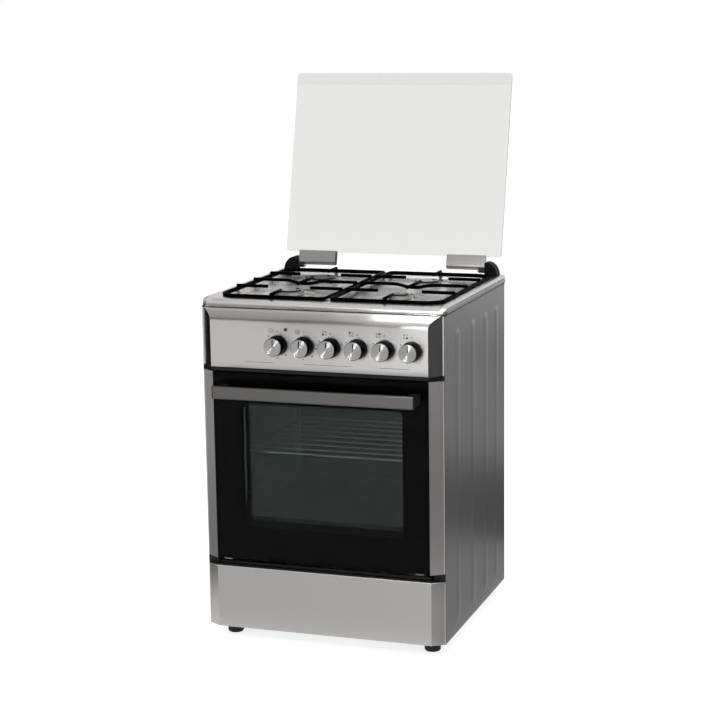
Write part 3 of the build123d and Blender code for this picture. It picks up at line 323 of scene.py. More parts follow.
foot_profile = [(0, 0), (15.6, 0), (16.5, 0.4), (18.8, 2.6), (19.4, 4), (19.4, 22), (18.6, 24.5),
                (16, 25.2), (12, 25.6), (11, 27), (11, 32), (4.9, 32), (4.9, 46), (0, 46)]
foot_ribs = [0, 0, 0, 0, 0.9, 0.9, 0, 0, 0, 0, 0, 0, 0, 0]
feet = new_piece(
    "feet_moulded",
    *together([turned(foot_profile, (*spot, 0), 144, 24, foot_ribs) for spot in foot_places]),
    black_plastic,
)
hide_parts("feet")
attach(feet, "cabinet")


# Base frame, back panel, deck, drawer box and rails: folded from hot-dip galvanised sheet. Its
# zinc froze in a spangle of crystals, a few millimetres across and each a shade apart.
galvanised, tree, shader = new_material("zinc_hot_dip_galvanised", "9A9D9E", 0.42, metallic=0.85)
crystals = add(tree, "TexVoronoi", {"Vector": place_in(tree, 9), "Scale": 1.0})
shade = add(tree, "SeparateColor", {0: crystals.outputs["Color"]})
vary(tree, shader, "Base Color", shade.outputs[0], "8B8F91", "A9ACAD")
vary(tree, shader, "Roughness", shade.outputs[1], 0.34, 0.5)
dress(galvanised, "base_frame", "middle_deck", "drawer_box", "drawer_rails", "back_panel")


# Side panels: one sheet each with four pressed ribs, sprayed in a silver-grey stove enamel
# whose flakes give a soft metallic sheen. Long shallow waves of the sheet show in the gloss.
silver_paint, tree, shader = new_material("stove_enamel_silver_grey", "6E6E70", 0.34, metallic=0.5)
flakes = add(tree, "TexNoise", {"Vector": place_in(tree, 2.5), "Detail": 3.0})
waves = add(tree, "TexNoise", {"Vector": place_in(tree, (150, 90, 900)), "Detail": 0.0})
vary(tree, shader, "Base Color", flakes.outputs[0], "6A6A6C", "737375")
vary(tree, shader, "Roughness", flakes.outputs[0], 0.31, 0.37)
roughen(tree, shader, waves.outputs[0], 0.3)
dress(silver_paint, "side_panel_left", "side_panel_right")


# The ribs are pressed soft: each swells out over some forty millimetres to a flat crest and
# dies away at its ends. The sheet between them is not quite flat.
rib_depths, rib_low, rib_high = (108.0, 242.0, 356.0, 457.0), 72.0, 752.0
skin_face, rib_height, wave_height = 297.12, 1.5, 0.22
rib_half, rib_side, rib_past, rib_end = 22, 16, 12, 14
skin_depth = np.unique(np.concatenate([np.linspace(0.4, 539.6, 46)] + [
    rib + np.array([-22, -18, -14, -10, -7, -5, 5, 7, 10, 14, 18, 22]) for rib in rib_depths]))
skin_z = np.unique(np.concatenate([np.linspace(32.6, 807.4, 40), rib_low + np.linspace(-14, 20, 9),
                                   rib_high + np.linspace(-20, 14, 9)]))
skin_depth, skin_z = np.meshgrid(skin_depth, skin_z)


def ease(value):
    """A smooth step from 0 to 1, level at both ends."""
    value = np.clip(value, 0, 1)
    return value * value * (3 - 2 * value)


swell = sum(ease((rib_half - np.abs(skin_depth - rib)) / rib_side) for rib in rib_depths)
swell = swell * ease((skin_z - rib_low + rib_past) / rib_end)
swell = swell * ease((rib_high + rib_past - skin_z) / rib_end)
wave = 1 + np.sin(skin_depth / 61 + skin_z / 420) * np.sin(skin_z / 260)
skin_out = skin_face + rib_height * swell + wave_height * wave * (1 - swell)
for side, name in ((-1, "side_skin_left"), (1, "side_skin_right")):
    skin = new_piece(name, at(side * skin_out, skin_depth, skin_z), grid_faces(*skin_z.shape),
                     silver_paint, 60)
    if (skin.data.polygons[0].normal.x > 0) != (side > 0):
        skin.data.flip_normals()
    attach(skin, "cabinet")


# Back screws, gas manifold and door hinges: steel with bright zinc plating, which is silvery
# and a little cloudy.
plated = mottled("steel_bright_zinc_plated", 6, ("A3A6A8", "BFC0C0"), (0.2, 0.34), detail=3.0,
                 metallic=1.0)
dress(plated, "back_screws", "gas_manifold", "door_hinges", "door_hinge_arms")


# Control panel, door trims, handle, drawer front and lid clips: stainless steel sheet, brushed
# with a belt in one direction, which draws each reflection out across the lines.
def brushed(name, colours, grain, roughness, anisotropy=0.55, line_depth=0.01):
    """Stainless steel brushed along one axis, 0 for x and 2 for z."""
    material, tree, shader = new_material(name, colours[0], roughness, metallic=1.0,
                                          more={"Anisotropic": anisotropy})
    across = add(tree, "CombineXYZ", {"X": float(grain == 2), "Z": float(grain == 0)})
    tree.links.new(across.outputs[0], shader.inputs["Tangent"])
    # belt lines are a tenth of a millimetre wide; they are drawn a millimetre wide to show
    line_width, line_length = 1.1, 160
    size = [line_length if axis == grain else line_width for axis in range(3)]
    lines = add(tree, "TexNoise",
                {"Vector": place_in(tree, size), "Detail": 5.0, "Roughness": 0.65})
    vary(tree, shader, "Base Color", lines.outputs[0], *colours)
    vary(tree, shader, "Roughness", lines.outputs[0], roughness - 0.05, roughness + 0.05)
    roughen(tree, shader, lines.outputs[0], line_depth)
    return material


panel_steel = brushed("stainless_belt_brushed_fine", ("B2B0AF", "CAC8C7"), 0, 0.30)
# the drawer front's steel is darker than the panel's: painted shade, besides its rougher satin
# brushing
drawer_steel_painted_shade = brushed("stainless_belt_brushed_satin_painted_shade", ("A2A09F", "B8B6B5"), 0, 0.34)
trim_steel = brushed("stainless_belt_brushed_upright", ("B2B0AF", "C6C4C3"), 2, 0.42)
# the handle's steel is far darker than the panel's: painted shade
handle_steel_painted_shade = brushed("stainless_belt_brushed_painted_shade", ("5C5B5A", "6E6D6C"), 0, 0.30)
dress(drawer_steel_painted_shade, "drawer_front")
dress(trim_steel, "door_trims")
dress(handle_steel_painted_shade, "door_handle")


def capped(outlines):
    """Points and faces of a solid between two like outlines, with a face across each."""
    count = len(outlines[0])
    faces = [*grid_faces(2, count, close_columns=True), range(count), range(count, 2 * count)]
    return np.concatenate(outlines), faces


def bar(section, start, end):
    """A straight bar: an outline of depth, z points is carried along x from start to end."""
    depth, z = np.array(section, float).T
    return capped([at(x, depth, z) for x in (start, end)])


def oblong(near, far, low, high, start, end):
    """A bar with an oblong outline, from one depth, height and x to another."""
    return bar([(near, low), (near, high), (far, high), (far, low)], start, end)


def thicken(piece):
    """Gives a surface the 0.8 mm of the sheet that it is pressed from."""
    piece.modifiers.new("sheet", "SOLIDIFY").thickness = 0.8 / 1000


def soften(piece, width, segments=2):
    """Rounds the edges of a piece, as a press or a file leaves them."""
    bevel = piece.modifiers.new("soft_edges", "BEVEL")
    bevel.width = width / 1000
    bevel.segments = segments
    bevel.limit_method = "ANGLE"
    bevel.angle_limit = radians(30)
    bevel.harden_normals = True


# Control panel: one pressed sheet. Its face stands upright and rolls over into a slope that
# runs up to the hob, and its ends are cut slantwise.
panel_low, panel_high = 671.0, 808.6
panel_half, panel_slant, panel_proud = 293.4, 27.0, 26.0
roll_radius, slope_radius, roll_tilt, slope_tilt = 22.0, 76.0, radians(44), radians(60)
roll, slope = np.linspace(0, roll_tilt, 14), np.linspace(roll_tilt, slope_tilt, 8)[1:]
# each of the two arcs is its radius times what the sine and cosine of its tilt have changed
rolled_in = np.concatenate([
    roll_radius * (1 - np.cos(roll)),
    roll_radius * (1 - cos(roll_tilt)) + slope_radius * (cos(roll_tilt) - np.cos(slope))])
rolled_up = np.concatenate([
    roll_radius * np.sin(roll),
    roll_radius * sin(roll_tilt) + slope_radius * (np.sin(slope) - sin(roll_tilt))])
roll_foot = panel_high - rolled_up[-1]
panel_z = np.concatenate([[panel_low, panel_low + 0.4, panel_low + 1.4],
                          np.linspace(panel_low + 12, roll_foot - 4, 8), roll_foot + rolled_up])
panel_out = panel_proud - np.concatenate([[1.4, 0.4], np.zeros(9), rolled_in])
slant = np.linspace(0, 1, 6)
slant_width = panel_slant * panel_out / panel_proud
ridge = panel_half - slant_width
panel_x = np.concatenate([
    -panel_half + slant * slant_width[:, None],
    ridge[:, None] * np.linspace(-1, 1, 15)[1:-1],
    panel_half - slant[::-1] * slant_width[:, None],
], axis=1)
panel_depth = -np.minimum(1, (panel_half - np.abs(panel_x)) / slant_width[:, None])
panel_points = at(panel_x, panel_depth * panel_out[:, None], panel_z[:, None])
panel_faces = grid_faces(*panel_x.shape)
control_panel = new_piece("control_panel_sheet", panel_points, panel_faces, panel_steel)
thicken(control_panel)
soften(control_panel, 0.8)
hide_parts("control_panel")
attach(control_panel, "cabinet")


# Folds and covers: narrow bright folds close the sides of the control panel, of the door's
# trims and of the drawer's front, and black mouldings the corners above and below the door.
# the panel's folds take a polished steel a shade lighter than the panel's own: painted highlight
# along its edges, besides the polish
bright_steel_painted_highlight = brushed("stainless_polished_edge_painted_highlight", ("B9B7B6", "CFCDCC"), 2, 0.22, 0.3)
for name, body, slot, material, (near, far), spans, (inner, outer), edge in (
    ("control_panel_folds", "cabinet", "stainless", bright_steel_painted_highlight,
     (-0.9, 0.6), [(panel_low, panel_high)], (293.2, 297.0), 0.4),
    ("door_trim_folds", "door", "stainless", trim_steel,
     (-1.6, 0.3), [(205, 657)], (294.2, 296.4), 0.4),
    ("drawer_front_folds", "drawer", "stainless", trim_steel,
     (-1.6, 0.3), [(34, 182)], (294.8, 297.0), 0.4),
    ("gap_covers", "cabinet", "black_plastic", black_plastic,
     (-1.2, 0.2), [(184.6, 203.0), (659.4, 670.6)], (270, 296.9), 0.5),
):
    parts = [oblong(near, far, low, high, side * inner, side * outer)
             for side in (-1, 1) for low, high in spans]
    piece = new_piece(name, *together(parts), material)
    soften(piece, edge)
    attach(piece, body)


# Black mouldings: the strip below the panel, the handle's brackets, the drawer grip and the
# cases of the switches, spark generator and terminals are polypropylene, like the feet.
dress(black_plastic, "panel_strip", "handle_brackets", "drawer_grip", "thermostat",
      "oven_switch", "spark_generator", "terminal_box")


# Spindle seals: a flat ring, moulded of the same black plastic, is pressed into the panel's
# hole round each knob's shaft and keeps spills out.
seal_profile = [(4.6, 0), (10, 0), (10.6, 0.4), (10.6, 0.8), (10.2, 1.1), (4.6, 1.1), (4.6, 0)]
knob_z = 729.0
knob_places = [-98 + 65.2 * number for number in range(6)]
seal_rings = [turned(seal_profile, (x, -panel_proud, knob_z), 48, axis="y") for x in knob_places]
spindle_seals = new_piece("spindle_seals", *together(seal_rings), black_plastic)
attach(spindle_seals, "cabinet")


# Panel printing: black ink screened on the steel and baked. Thin lines, the dial marks
# round the knobs and a small symbol above each.
ink = mottled("screen_ink_baked", 0.8, ("101011", "1E1E1F"), [0.5])
panel_face, ink_height, ink_depth = -panel_proud, 0.08, 0.05


def stroke(line, width, closed=False):
    """Points and faces of a printed line: a flat bar is carried along x, z points of the panel."""
    line = np.array(line, float)
    if closed:
        along = np.roll(line, -1, 0) - np.roll(line, 1, 0)
    else:
        along = np.gradient(line, axis=0)
    along /= np.linalg.norm(along, axis=1, keepdims=True)
    aside = np.stack([-along[:, 1], along[:, 0]], -1) * width / 2
    left, right = line + aside, line - aside
    proud, sunk = panel_face - ink_height, panel_face + ink_depth
    rows = [at(left[:, 0], proud, left[:, 1]), at(right[:, 0], proud, right[:, 1]),
            at(right[:, 0], sunk, right[:, 1]), at(left[:, 0], sunk, left[:, 1])]
    points = np.stack(rows, 1)
    count = len(line)
    faces = grid_faces(count, 4, close_rows=closed, close_columns=True)
    if not closed:
        end = np.arange(4)
        faces = np.concatenate([faces, [end, 4 * count - 4 + end]])
    return points.reshape(-1, 3), faces


def arc(x, z, radius, start=0.0, end=360.0, steps=24):
    """Points on part of a circle, or of an oval of two radii, between two angles in degrees."""
    turn = np.radians(np.linspace(start, end, steps))
    return (x, z) + np.stack([np.cos(turn), np.sin(turn)], -1) * radius


def ring(x, z, radius, width):
    """A printed ring."""
    return stroke(arc(x, z, radius)[:-1], width, closed=True)


def dot(x, z, radius):
    """A printed dot: a ring as wide as its radius, closed at its middle."""
    return stroke(arc(x, z, radius / 2, steps=17)[:-1], radius * 0.999, closed=True)


line_z, line_width = 686.8, 0.9
marks = [stroke([(low, line_z), (high, line_z)], line_width)
         for low, high in ((-181, -108.5), (-33.8, 83.8), (150.5, 222))]
dial_radius, dial_dot = 30.0, 1.7
dial_angles = [(137, 268, 313), (353, 312, 266)] + [(153, 245)] * 4
symbol_z, symbol_aside = knob_z + 33.4, -14.5
arrow = np.array([(-1.8, -2.2), (1.8, -2.2), (0, 2.2)])
oven_box = np.array([(-6, -5), (2, -5), (2, 5), (-6, 5)])
burner_spots = 3.4 * np.array([(-1, -1), (-1, 1), (1, 1), (1, -1)])

for number, (x, angles) in enumerate(zip(knob_places, dial_angles)):
    for angle in np.radians(angles):
        marks.append(dot(x + dial_radius * cos(angle), knob_z + dial_radius * sin(angle), dial_dot))
    marks.append(stroke(arrow + (x, symbol_z), 1.3, closed=True))
    middle = np.array([x + symbol_aside, symbol_z])
    if number == 0:
        # the oven, with three steps of heat beside it
        marks.append(stroke(oven_box + middle, 1.1, closed=True))
        marks += [stroke([middle + (3.6, rise), middle + (6, rise)], 1.3) for rise in (-4, 0, 4)]
        marks.append(dot(*middle + (-2, 0), 1.2))
    elif number == 1:
        # four leaves of a fan in a ring
        marks.append(ring(*middle, 5.8, 1.0))
        for angle in np.radians((45, 135, 225, 315)):
            leaf = np.array([cos(angle), sin(angle)])
            marks.append(stroke([middle + leaf * 0.8, middle + leaf * 3.8], 1.7))
    else:
        # the four burners, with the knob's own filled in
        for spot, place in enumerate(middle + burner_spots):
            marks.append(dot(*place, 2.7) if spot == number - 2 else ring(*place, 2.0, 0.9))

printing = new_piece("panel_printing", *together(marks), ink)
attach(printing, "cabinet")


# Pilot lamp: a clear amber lens, moulded in polycarbonate and snapped into the panel. It is
# glossy, and nearly black while the oven is off.
amber = mottled("polycarbonate_tinted", 2, ("120A08", "24130C"), [0.12], ior=1.58)
dress(amber, "pilot_lamp")


# Knobs: each a tapered moulding of glossy black thermoset plastic, with a turned aluminium
# disc pressed in its face and a black pointer let into the disc.
thermoset = mottled("phenolic_moulded_glossy", 14, ["030303"], (0.16, 0.26), gloss=0.04)

knob_base = -30.5
knob_profile = [(0, 0), (23.2, 0), (23.7, 0.5), (23.7, 2.4), (23.2, 3.0), (21.75, 26.6),
                (21.5, 27.2), (21.1, 27.5), (20.9, 27.5), (0, 27.5)]
disc_profile = [(0, 27.4), (20.6, 27.4), (20.8, 27.9), (20.8, 28.3), (20.2, 28.9),
                (12, 28.95), (0, 28.97)]
pointer_half, pointer_inner, pointer_outer = 1.2, 1.5, 17.5
pointer_foot, pointer_top = 28.5, 29.02
knob_bodies = ["thermostat_knob", "function_knob"] + [f"burner_knob_{n}" for n in (1, 2, 3, 4)]
knob_nodes = ["knob_thermostat", "knob_function"] + [f"knob_burner_{n}" for n in (1, 2, 3, 4)]

for x, body, node in zip(knob_places, knob_bodies, knob_nodes):
    # the two oven knobs carry their own shafts, which reach back through the panel
    shaft = [(0, -26), (4, -26), (4, 0)] if "burner" not in body else [(0, 0)]
    grip_shape = turned(shaft + knob_profile[1:], (x, knob_base, knob_z), 96, axis="y")
    grip = new_piece(f"{body}_grip", *grip_shape, thermoset)
    spun, tree, shader = new_material(f"aluminium_spun_{body}", "A9A9A8", 0.3, metallic=1.0,
                                      more={"Anisotropic": 0.97})
    # turning leaves rings half a millimetre apart round the middle of the disc, drawn nearly
    # twice that to show, and each reflection spreads across them into a wedge
    ring_pitch, any_depth = 0.9, 1e6
    centre = (x, knob_base + front_edge, knob_z)
    from_middle = place_in(tree, (1000, any_depth, 1000), centre)
    outward = add(tree, "VectorMath", {0: from_middle}, operation="NORMALIZE")
    world = add(tree, "VectorTransform", {"Vector": outward.outputs[0]}, vector_type="VECTOR",
                convert_from="OBJECT", convert_to="WORLD")
    tree.links.new(world.outputs[0], shader.inputs["Tangent"])
    in_rings = place_in(tree, (ring_pitch, any_depth, ring_pitch), centre)
    distance = add(tree, "VectorMath", {0: in_rings}, operation="LENGTH")
    rings = add(tree, "Math", {0: distance.outputs["Value"], 1: 2 * pi}, operation="MULTIPLY")
    groove = add(tree, "Math", {0: rings.outputs[0]}, operation="SINE")
    tone = add(tree, "MapRange", {"Value": groove.outputs[0], "From Min": -1.0})
    vary(tree, shader, "Base Color", tone.outputs[0], "9E9E9D", "B4B4B3")
    vary(tree, shader, "Roughness", tone.outputs[0], 0.28, 0.32)
    disc_shape = turned(disc_profile, (x, knob_base, knob_z), 96, axis="y")
    disc = new_piece(f"{body}_disc", *disc_shape, spun)
    pointer_shape = oblong(knob_base - pointer_top, knob_base - pointer_foot,
                           knob_z + pointer_inner, knob_z + pointer_outer,
                           x - pointer_half, x + pointer_half)
    pointer = new_piece(f"{body}_pointer", *pointer_shape, thermoset)
    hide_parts(node)
    for piece, slot in ((grip, "knob_black"), (disc, "aluminium"), (pointer, "knob_black")):
        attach(piece, body)


# Tap spindles, taps and the gas inlet: brass, turned and hot stamped, screwed to the manifold.
# Its yellow is cloudy, because handling and the air have dulled it.
brass = mottled("brass_turned", 8, ("94733A", "C6A45F"), (0.24, 0.46), detail=4.0, metallic=1.0)
dress(brass, "gas_taps", "gas_inlet", "spindle_1", "spindle_2", "spindle_3", "spindle_4")


# Hob: one deep-drawn sheet of stainless steel. The rim is rolled down all round, the well
# is sunk with sloping sides, and each burner sits in a shallow round dish of its own.
hob_half, hob_front, hob_back = 300.0, -4.0, 545.0
hob_low, hob_high, front_corner, back_corner = 810.0, 826.0, 20.0, 8.0
side_lift, lift_start, lift_run, lift_fade = 3.2, 280.0, 8.0, 12.0
front_roll, back_roll, side_roll = (48.0, 15.4, 0.0), (8.0, 8.0, 0.0), (5.0, 4.0, 0.9)
well_half, well_front, well_back, well_corner = 267.0, 54.0, 499.0, 26.0
well_drop, well_run = 8.0, 14.0
dish_drop, dish_radius, dish_run, collar_run = 2.2, 66.0, 9.0, 12.0
burners = [(-140, 166, 37, 30), (-140, 388, 47, 39), (140, 388, 37, 30), (140, 166, 27, 21)]

quarter = np.linspace(0, pi / 2, 13)


def across_hob(low, high, first, last, pitch=3.6):
    """One axis of the hob's grid, with how far the rim has dropped at each place. Each end drops
    in a quarter of an ellipse, given by its run and fall, and in an edge that leans in a little."""
    ends = [(np.append(0, lean + run * (1 - np.cos(quarter))),
             np.append(hob_high - hob_low, fall * (1 - np.sin(quarter))))
            for run, fall, lean in (first, last)]
    inner = np.linspace(low + first[0] + first[2], high - last[0] - last[2],
                        round((high - low) / pitch))[1:-1]
    place = np.concatenate([low + ends[0][0], inner, (high - ends[1][0])[::-1]])
    return place, np.concatenate([ends[0][1], 0 * inner, ends[1][1][::-1]])


hob_x, drop_x = across_hob(-hob_half, hob_half, side_roll, side_roll)
hob_depth, drop_depth = across_hob(hob_front, hob_back, front_roll, back_roll)
x, depth = np.meshgrid(hob_x, hob_depth)
hob_drop = np.maximum(*np.meshgrid(drop_x, drop_depth))

# corners: the square of the grid in each is turned into a quarter disc, ring by ring
middle_depth, half_depth = (hob_front + hob_back) / 2, (hob_back - hob_front) / 2
hob_corner = np.where(depth < middle_depth, front_corner, back_corner)
past_x = np.abs(x) - (hob_half - hob_corner)
past_depth = np.abs(depth - middle_depth) - (half_depth - hob_corner)
in_corner = (past_x > 0) & (past_depth > 0)
reach = np.maximum(past_x, past_depth)
angle = np.where(past_x > past_depth, past_depth / np.maximum(past_x, 1e-9),
                 2 - past_x / np.maximum(past_depth, 1e-9)) * pi / 4
round_x = np.sign(x) * (hob_half - hob_corner + reach * np.cos(angle))
round_depth = middle_depth + np.sign(depth - middle_depth) * (
    half_depth - hob_corner + reach * np.sin(angle))
x = np.where(in_corner, round_x, x)
depth = np.where(in_corner, round_depth, depth)

# the rim rises to a ridge along both sides, and dies away down the front
lift = ease((np.abs(x) - lift_start) / lift_run) * ease(1 - hob_drop / lift_fade)
hob_drop = hob_drop - side_lift * lift

# the well: depth grows with the distance inside a rounded rectangle
aside = np.abs(x) - (well_half - well_corner)
along = np.abs(depth - (well_front + well_back) / 2) - ((well_back - well_front) / 2 - well_corner)
inside = well_corner - np.hypot(np.maximum(aside, 0), np.maximum(along, 0)) - np.minimum(
    np.maximum(aside, along), 0)
hob_drop = hob_drop + well_drop * ease(inside / well_run)
for burner_x, burner_depth, head, cap in burners:
    away = np.hypot(x - burner_x, depth - burner_depth)
    dish = ease((dish_radius - away) / dish_run) * ease((away - head - 1) / collar_run)
    hob_drop = hob_drop + dish_drop * dish

# this sheet is bright rolled, not brushed: it mirrors softly and a little cloudily
hob_steel = mottled("stainless_bright_rolled", 30, ("B4B2B1", "C4C2C1"), (0.23, 0.28),
                    metallic=1.0)
hob_points = at(x, depth, hob_high - hob_drop)
hob = new_piece("hob_pressed", hob_points, grid_faces(*x.shape), hob_steel, 50)
thicken(hob)
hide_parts("hob_plate")
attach(hob, "cabinet")

# the hob stands on a black foam seal, which shows as a thin dark line
seal_inner, seal_outer = 291.0, 297.9
seal_parts = [oblong(-2.3, 6, 808.1, 810.3, -294.5, 294.5)]
seal_parts += [oblong(0.2, 540, 806.8, 810.2, side * seal_inner, side * seal_outer)
               for side in (-1, 1)]
foam = mottled("foam_rubber_cellular", 1.5, ("080808", "161616"), [0.9])
seal = new_piece("hob_seal", *together(seal_parts), foam)
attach(seal, "cabinet")


# Burners: cups, pipes and heads with a row of flame ports, of dull and finely pitted cast
# aluminium, and lids of pressed steel in glossy black enamel that lie loose on them.
cast = mottled("aluminium_die_cast", 1.5, ("858584", "B2B2B1"), (0.36, 0.56), detail=5.0,
               relief=0.06, metallic=1.0)
dress(cast, "burner_cups", "burner_heads", "burner_pipes")

# fired enamel has the faint orange peel of glass that flowed, some 5 mm from crest to crest
black_enamel = mottled("vitreous_enamel_black", 5, ["080808"], (0.1, 0.2),
                       relief=0.06, gloss=0.3)

cap_seat, cap_parts = 827.0, []
for x, depth, head, cap in burners:
    profile = [(0, 0), (cap - 1.2, 0), (cap - 0.3, 0.5), (cap, 1.6), (cap - 0.4, 2.9),
               (cap - 1.6, 3.8), (cap - 3.6, 4.05), (cap - 7, 4.0), (cap * 0.5, 4.25), (0, 4.45)]
    cap_parts.append(turned(profile, (x, depth, cap_seat), 96))
caps = new_piece("burner_lids", *together(cap_parts), black_enamel, 60)
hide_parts("burner_caps")
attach(caps, "cabinet")


# Spark electrodes: a post of glazed white ceramic stands beside each burner, held by a clip
# under the hob, and ends in a steel tip.
tip_z = 823.1
ceramic, tree, shader = new_material("steatite_glazed", "E6E1D4", 0.22)
height = add(tree, "SeparateXYZ", {0: place_in(tree, 1)})
tip = add(tree, "Math", {0: height.outputs["Z"], 1: tip_z}, operation="GREATER_THAN")
vary(tree, shader, "Base Color", tip.outputs[0], "E6E1D4", "8C8A86")
tree.links.new(tip.outputs[0], shader.inputs["Metallic"])
dress(ceramic, "spark_electrodes")


# Pan supports: a closed frame of bent steel wire with straight fingers welded across it, and
# one long finger with a dip between the burners. The enamel is thick, black and a little lumpy.
wire_enamel = mottled("wire_enamel_black", 7, ["050505"], (0.2, 0.34),
                      detail=3.0, relief=0.15, gloss=0.004)

wire_radius, frame_z, finger_z, dip_z = 4.1, 830.0, 836.0, 829.0
grid_outer, grid_inner, grid_front, grid_back = 272.5, 8.0, 47.5, 505.0
grid_middle, burner_x, burner_front, burner_back = 276.0, 140.0, 166.0, 388.0
finger_reach, finger_lap, dip_start, dip_flat = 56.0, 2.0, 42.0, 13.0
frame_bends, dip_bend = (10, 38, 38, 10), 80


def bent(corners, radii, closed=False, steps=7):
    """Points of a bent wire: at each corner an arc touches both of its straight runs. The arc is
    turned about its centre, which lies where the corner's two directions add up to."""
    corners = np.array(corners, float)
    route = []
    for number, corner in enumerate(corners):
        if not closed and number in (0, len(corners) - 1):
            route.append(corner[None])
            continue
        back, ahead = corners[number - 1] - corner, corners[(number + 1) % len(corners)] - corner
        back, ahead = back / np.linalg.norm(back), ahead / np.linalg.norm(ahead)
        half = np.arccos(np.clip(back @ ahead, -1, 1)) / 2
        middle = (back + ahead) / np.linalg.norm(back + ahead)
        centre = corner + middle * radii[number] / sin(half)
        run = radii[number] / np.tan(half)
        first, last = corner + run * back - centre, corner + run * ahead - centre
        sweep, share = pi - 2 * half, np.linspace(0, 1, steps)[:, None]
        turned_about = first * np.sin((1 - share) * sweep) + last * np.sin(share * sweep)
        route.append(centre + turned_about / sin(sweep))
    return np.concatenate(route)


def wire(route, radius, closed=False, sides=14):
    """Points and faces of a round wire along a route of x, depth and z: a circle stands square
    across the route at each point. An open wire ends in a low dome."""
    route = np.array(route, float)
    reach = np.full(len(route), radius)
    if not closed:
        ways = [route[0] - route[1], route[-1] - route[-2]]
        dome = np.array([(0.0, 0.5), (0.55, 0.44), (0.85, 0.28), (1.0, 0.0)]) * radius
        tips = [route[end] + out[:, None] * way / np.linalg.norm(way)
                for end, way, out in ((0, ways[0], dome[:, 1]), (-1, ways[1], dome[::-1, 1]))]
        route = np.concatenate([tips[0], route[1:-1], tips[1]])
        reach = np.concatenate([dome[:, 0], reach[1:-1], dome[::-1, 0]])
        along = np.gradient(route, axis=0)
        along[:4], along[-4:] = -ways[0], ways[1]
    else:
        along = np.roll(route, -1, 0) - np.roll(route, 1, 0)
    across = np.cross(along, (0, 0, 1))
    across /= np.linalg.norm(across, axis=1, keepdims=True)
    above = np.cross(across, along)
    above /= np.linalg.norm(above, axis=1, keepdims=True)
    turn = (np.arange(sides) * 2 * pi / sides)[:, None]
    circles = np.cos(turn) * across[:, None] + np.sin(turn) * above[:, None]
    points = route[:, None] + reach[:, None, None] * circles
    return (at(*points.reshape(-1, 3).T),
            grid_faces(len(route), sides, close_rows=closed, close_columns=True))


inner_end, outer_end = grid_inner - finger_lap, grid_outer + finger_lap
inner_tip, outer_tip = burner_x - finger_reach, burner_x + finger_reach
frame_line = [(grid_inner, grid_front, frame_z), (grid_outer, grid_front, frame_z),
              (grid_outer, grid_back, frame_z), (grid_inner, grid_back, frame_z)]
fingers = [[(end, depth, finger_z), (tip, depth, finger_z)]
           for depth in (burner_front, burner_back)
           for end, tip in ((inner_end, inner_tip), (outer_end, outer_tip))]
fingers += [[(burner_x, low, finger_z), (burner_x, high, finger_z)]
            for low, high in ((grid_front - finger_lap, burner_front - finger_reach),
                              (burner_front + finger_reach, burner_back - finger_reach),
                              (burner_back + finger_reach, grid_back + finger_lap))]
dip = [(inner_end, finger_z), (burner_x - dip_start, finger_z), (burner_x - dip_flat, dip_z),
       (burner_x + dip_flat, dip_z), (burner_x + dip_start, finger_z), (outer_end, finger_z)]
fingers.append(bent([(x, grid_middle, z) for x, z in dip], [dip_bend] * len(dip)))

for side, node, body in ((-1, "pan_support_left", "grid_left"),
                         (1, "pan_support_right", "grid_right")):
    mirror = (side, 1, 1)
    frame_route = bent(frame_line, frame_bends, closed=True) * mirror
    wires = [wire(frame_route, wire_radius, closed=True)]
    wires += [wire(np.array(finger) * mirror, wire_radius) for finger in fingers]
    grid = new_piece(f"{body}_wires", *together(wires), wire_enamel, 50)
    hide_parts(node)
    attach(grid, body)


# Drawer bead: the top edge of the drawer's sheet is turned back round a wire, which makes a
# thin bright line along the front and down both slanted ends.
bead_z, bead_radius, bead_bend = 182.9, 1.5, 3
bead_line = [(x, depth, bead_z)
             for x, depth in ((-295.6, -1.6), (-268.6, -16.9), (268.6, -16.9), (295.6, -1.6))]
bead_shape = wire(bent(bead_line, [bead_bend] * 4), bead_radius)
bead = new_piece("drawer_front_bead", *bead_shape, hob_steel, 60)
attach(bead, "drawer")


# Lid: one pane of toughened float glass with ground edges. It is clear and smooth, with a
# faint grey tint.
def glass(name, colour, tint=1.0, roughness=0.0, ior=1.52, clear=1.0):
    """A glass. Tint is the share of its plain reflection that its coating leaves."""
    return new_material(name, colour, roughness, ior=ior, more={
        "Transmission Weight": clear, "Specular Tint": (tint, tint, tint, 1.0)})[0]


dress(glass("float_glass_toughened", "E3E3E2"), "lid_glass")


# Lid clips: a black moulded core holds the foot of the pane and turns on the pin. A cover of
# brushed stainless steel is folded round it, flat above and rolled out below.
lid_lean = radians(14)
lid_axis = (524.4, 838.0)
clip_inner, clip_outer, plate, core_past, core_outer = 150.0, 249.6, 1.0, 1.0, 248.4
lug_inner, lug_outer, lug_radius = 235, 252.2, 4.8
pin_inner, pin_outer, pin_radius = 230, 256, 3.0


def on_lid(outline):
    """Depth and z of points counted behind the lid's axis and up the leaning pane."""
    behind, up = np.array(outline, float).T
    return np.stack([lid_axis[0] + behind * cos(lid_lean) + up * sin(lid_lean),
                     lid_axis[1] - behind * sin(lid_lean) + up * cos(lid_lean)], -1)


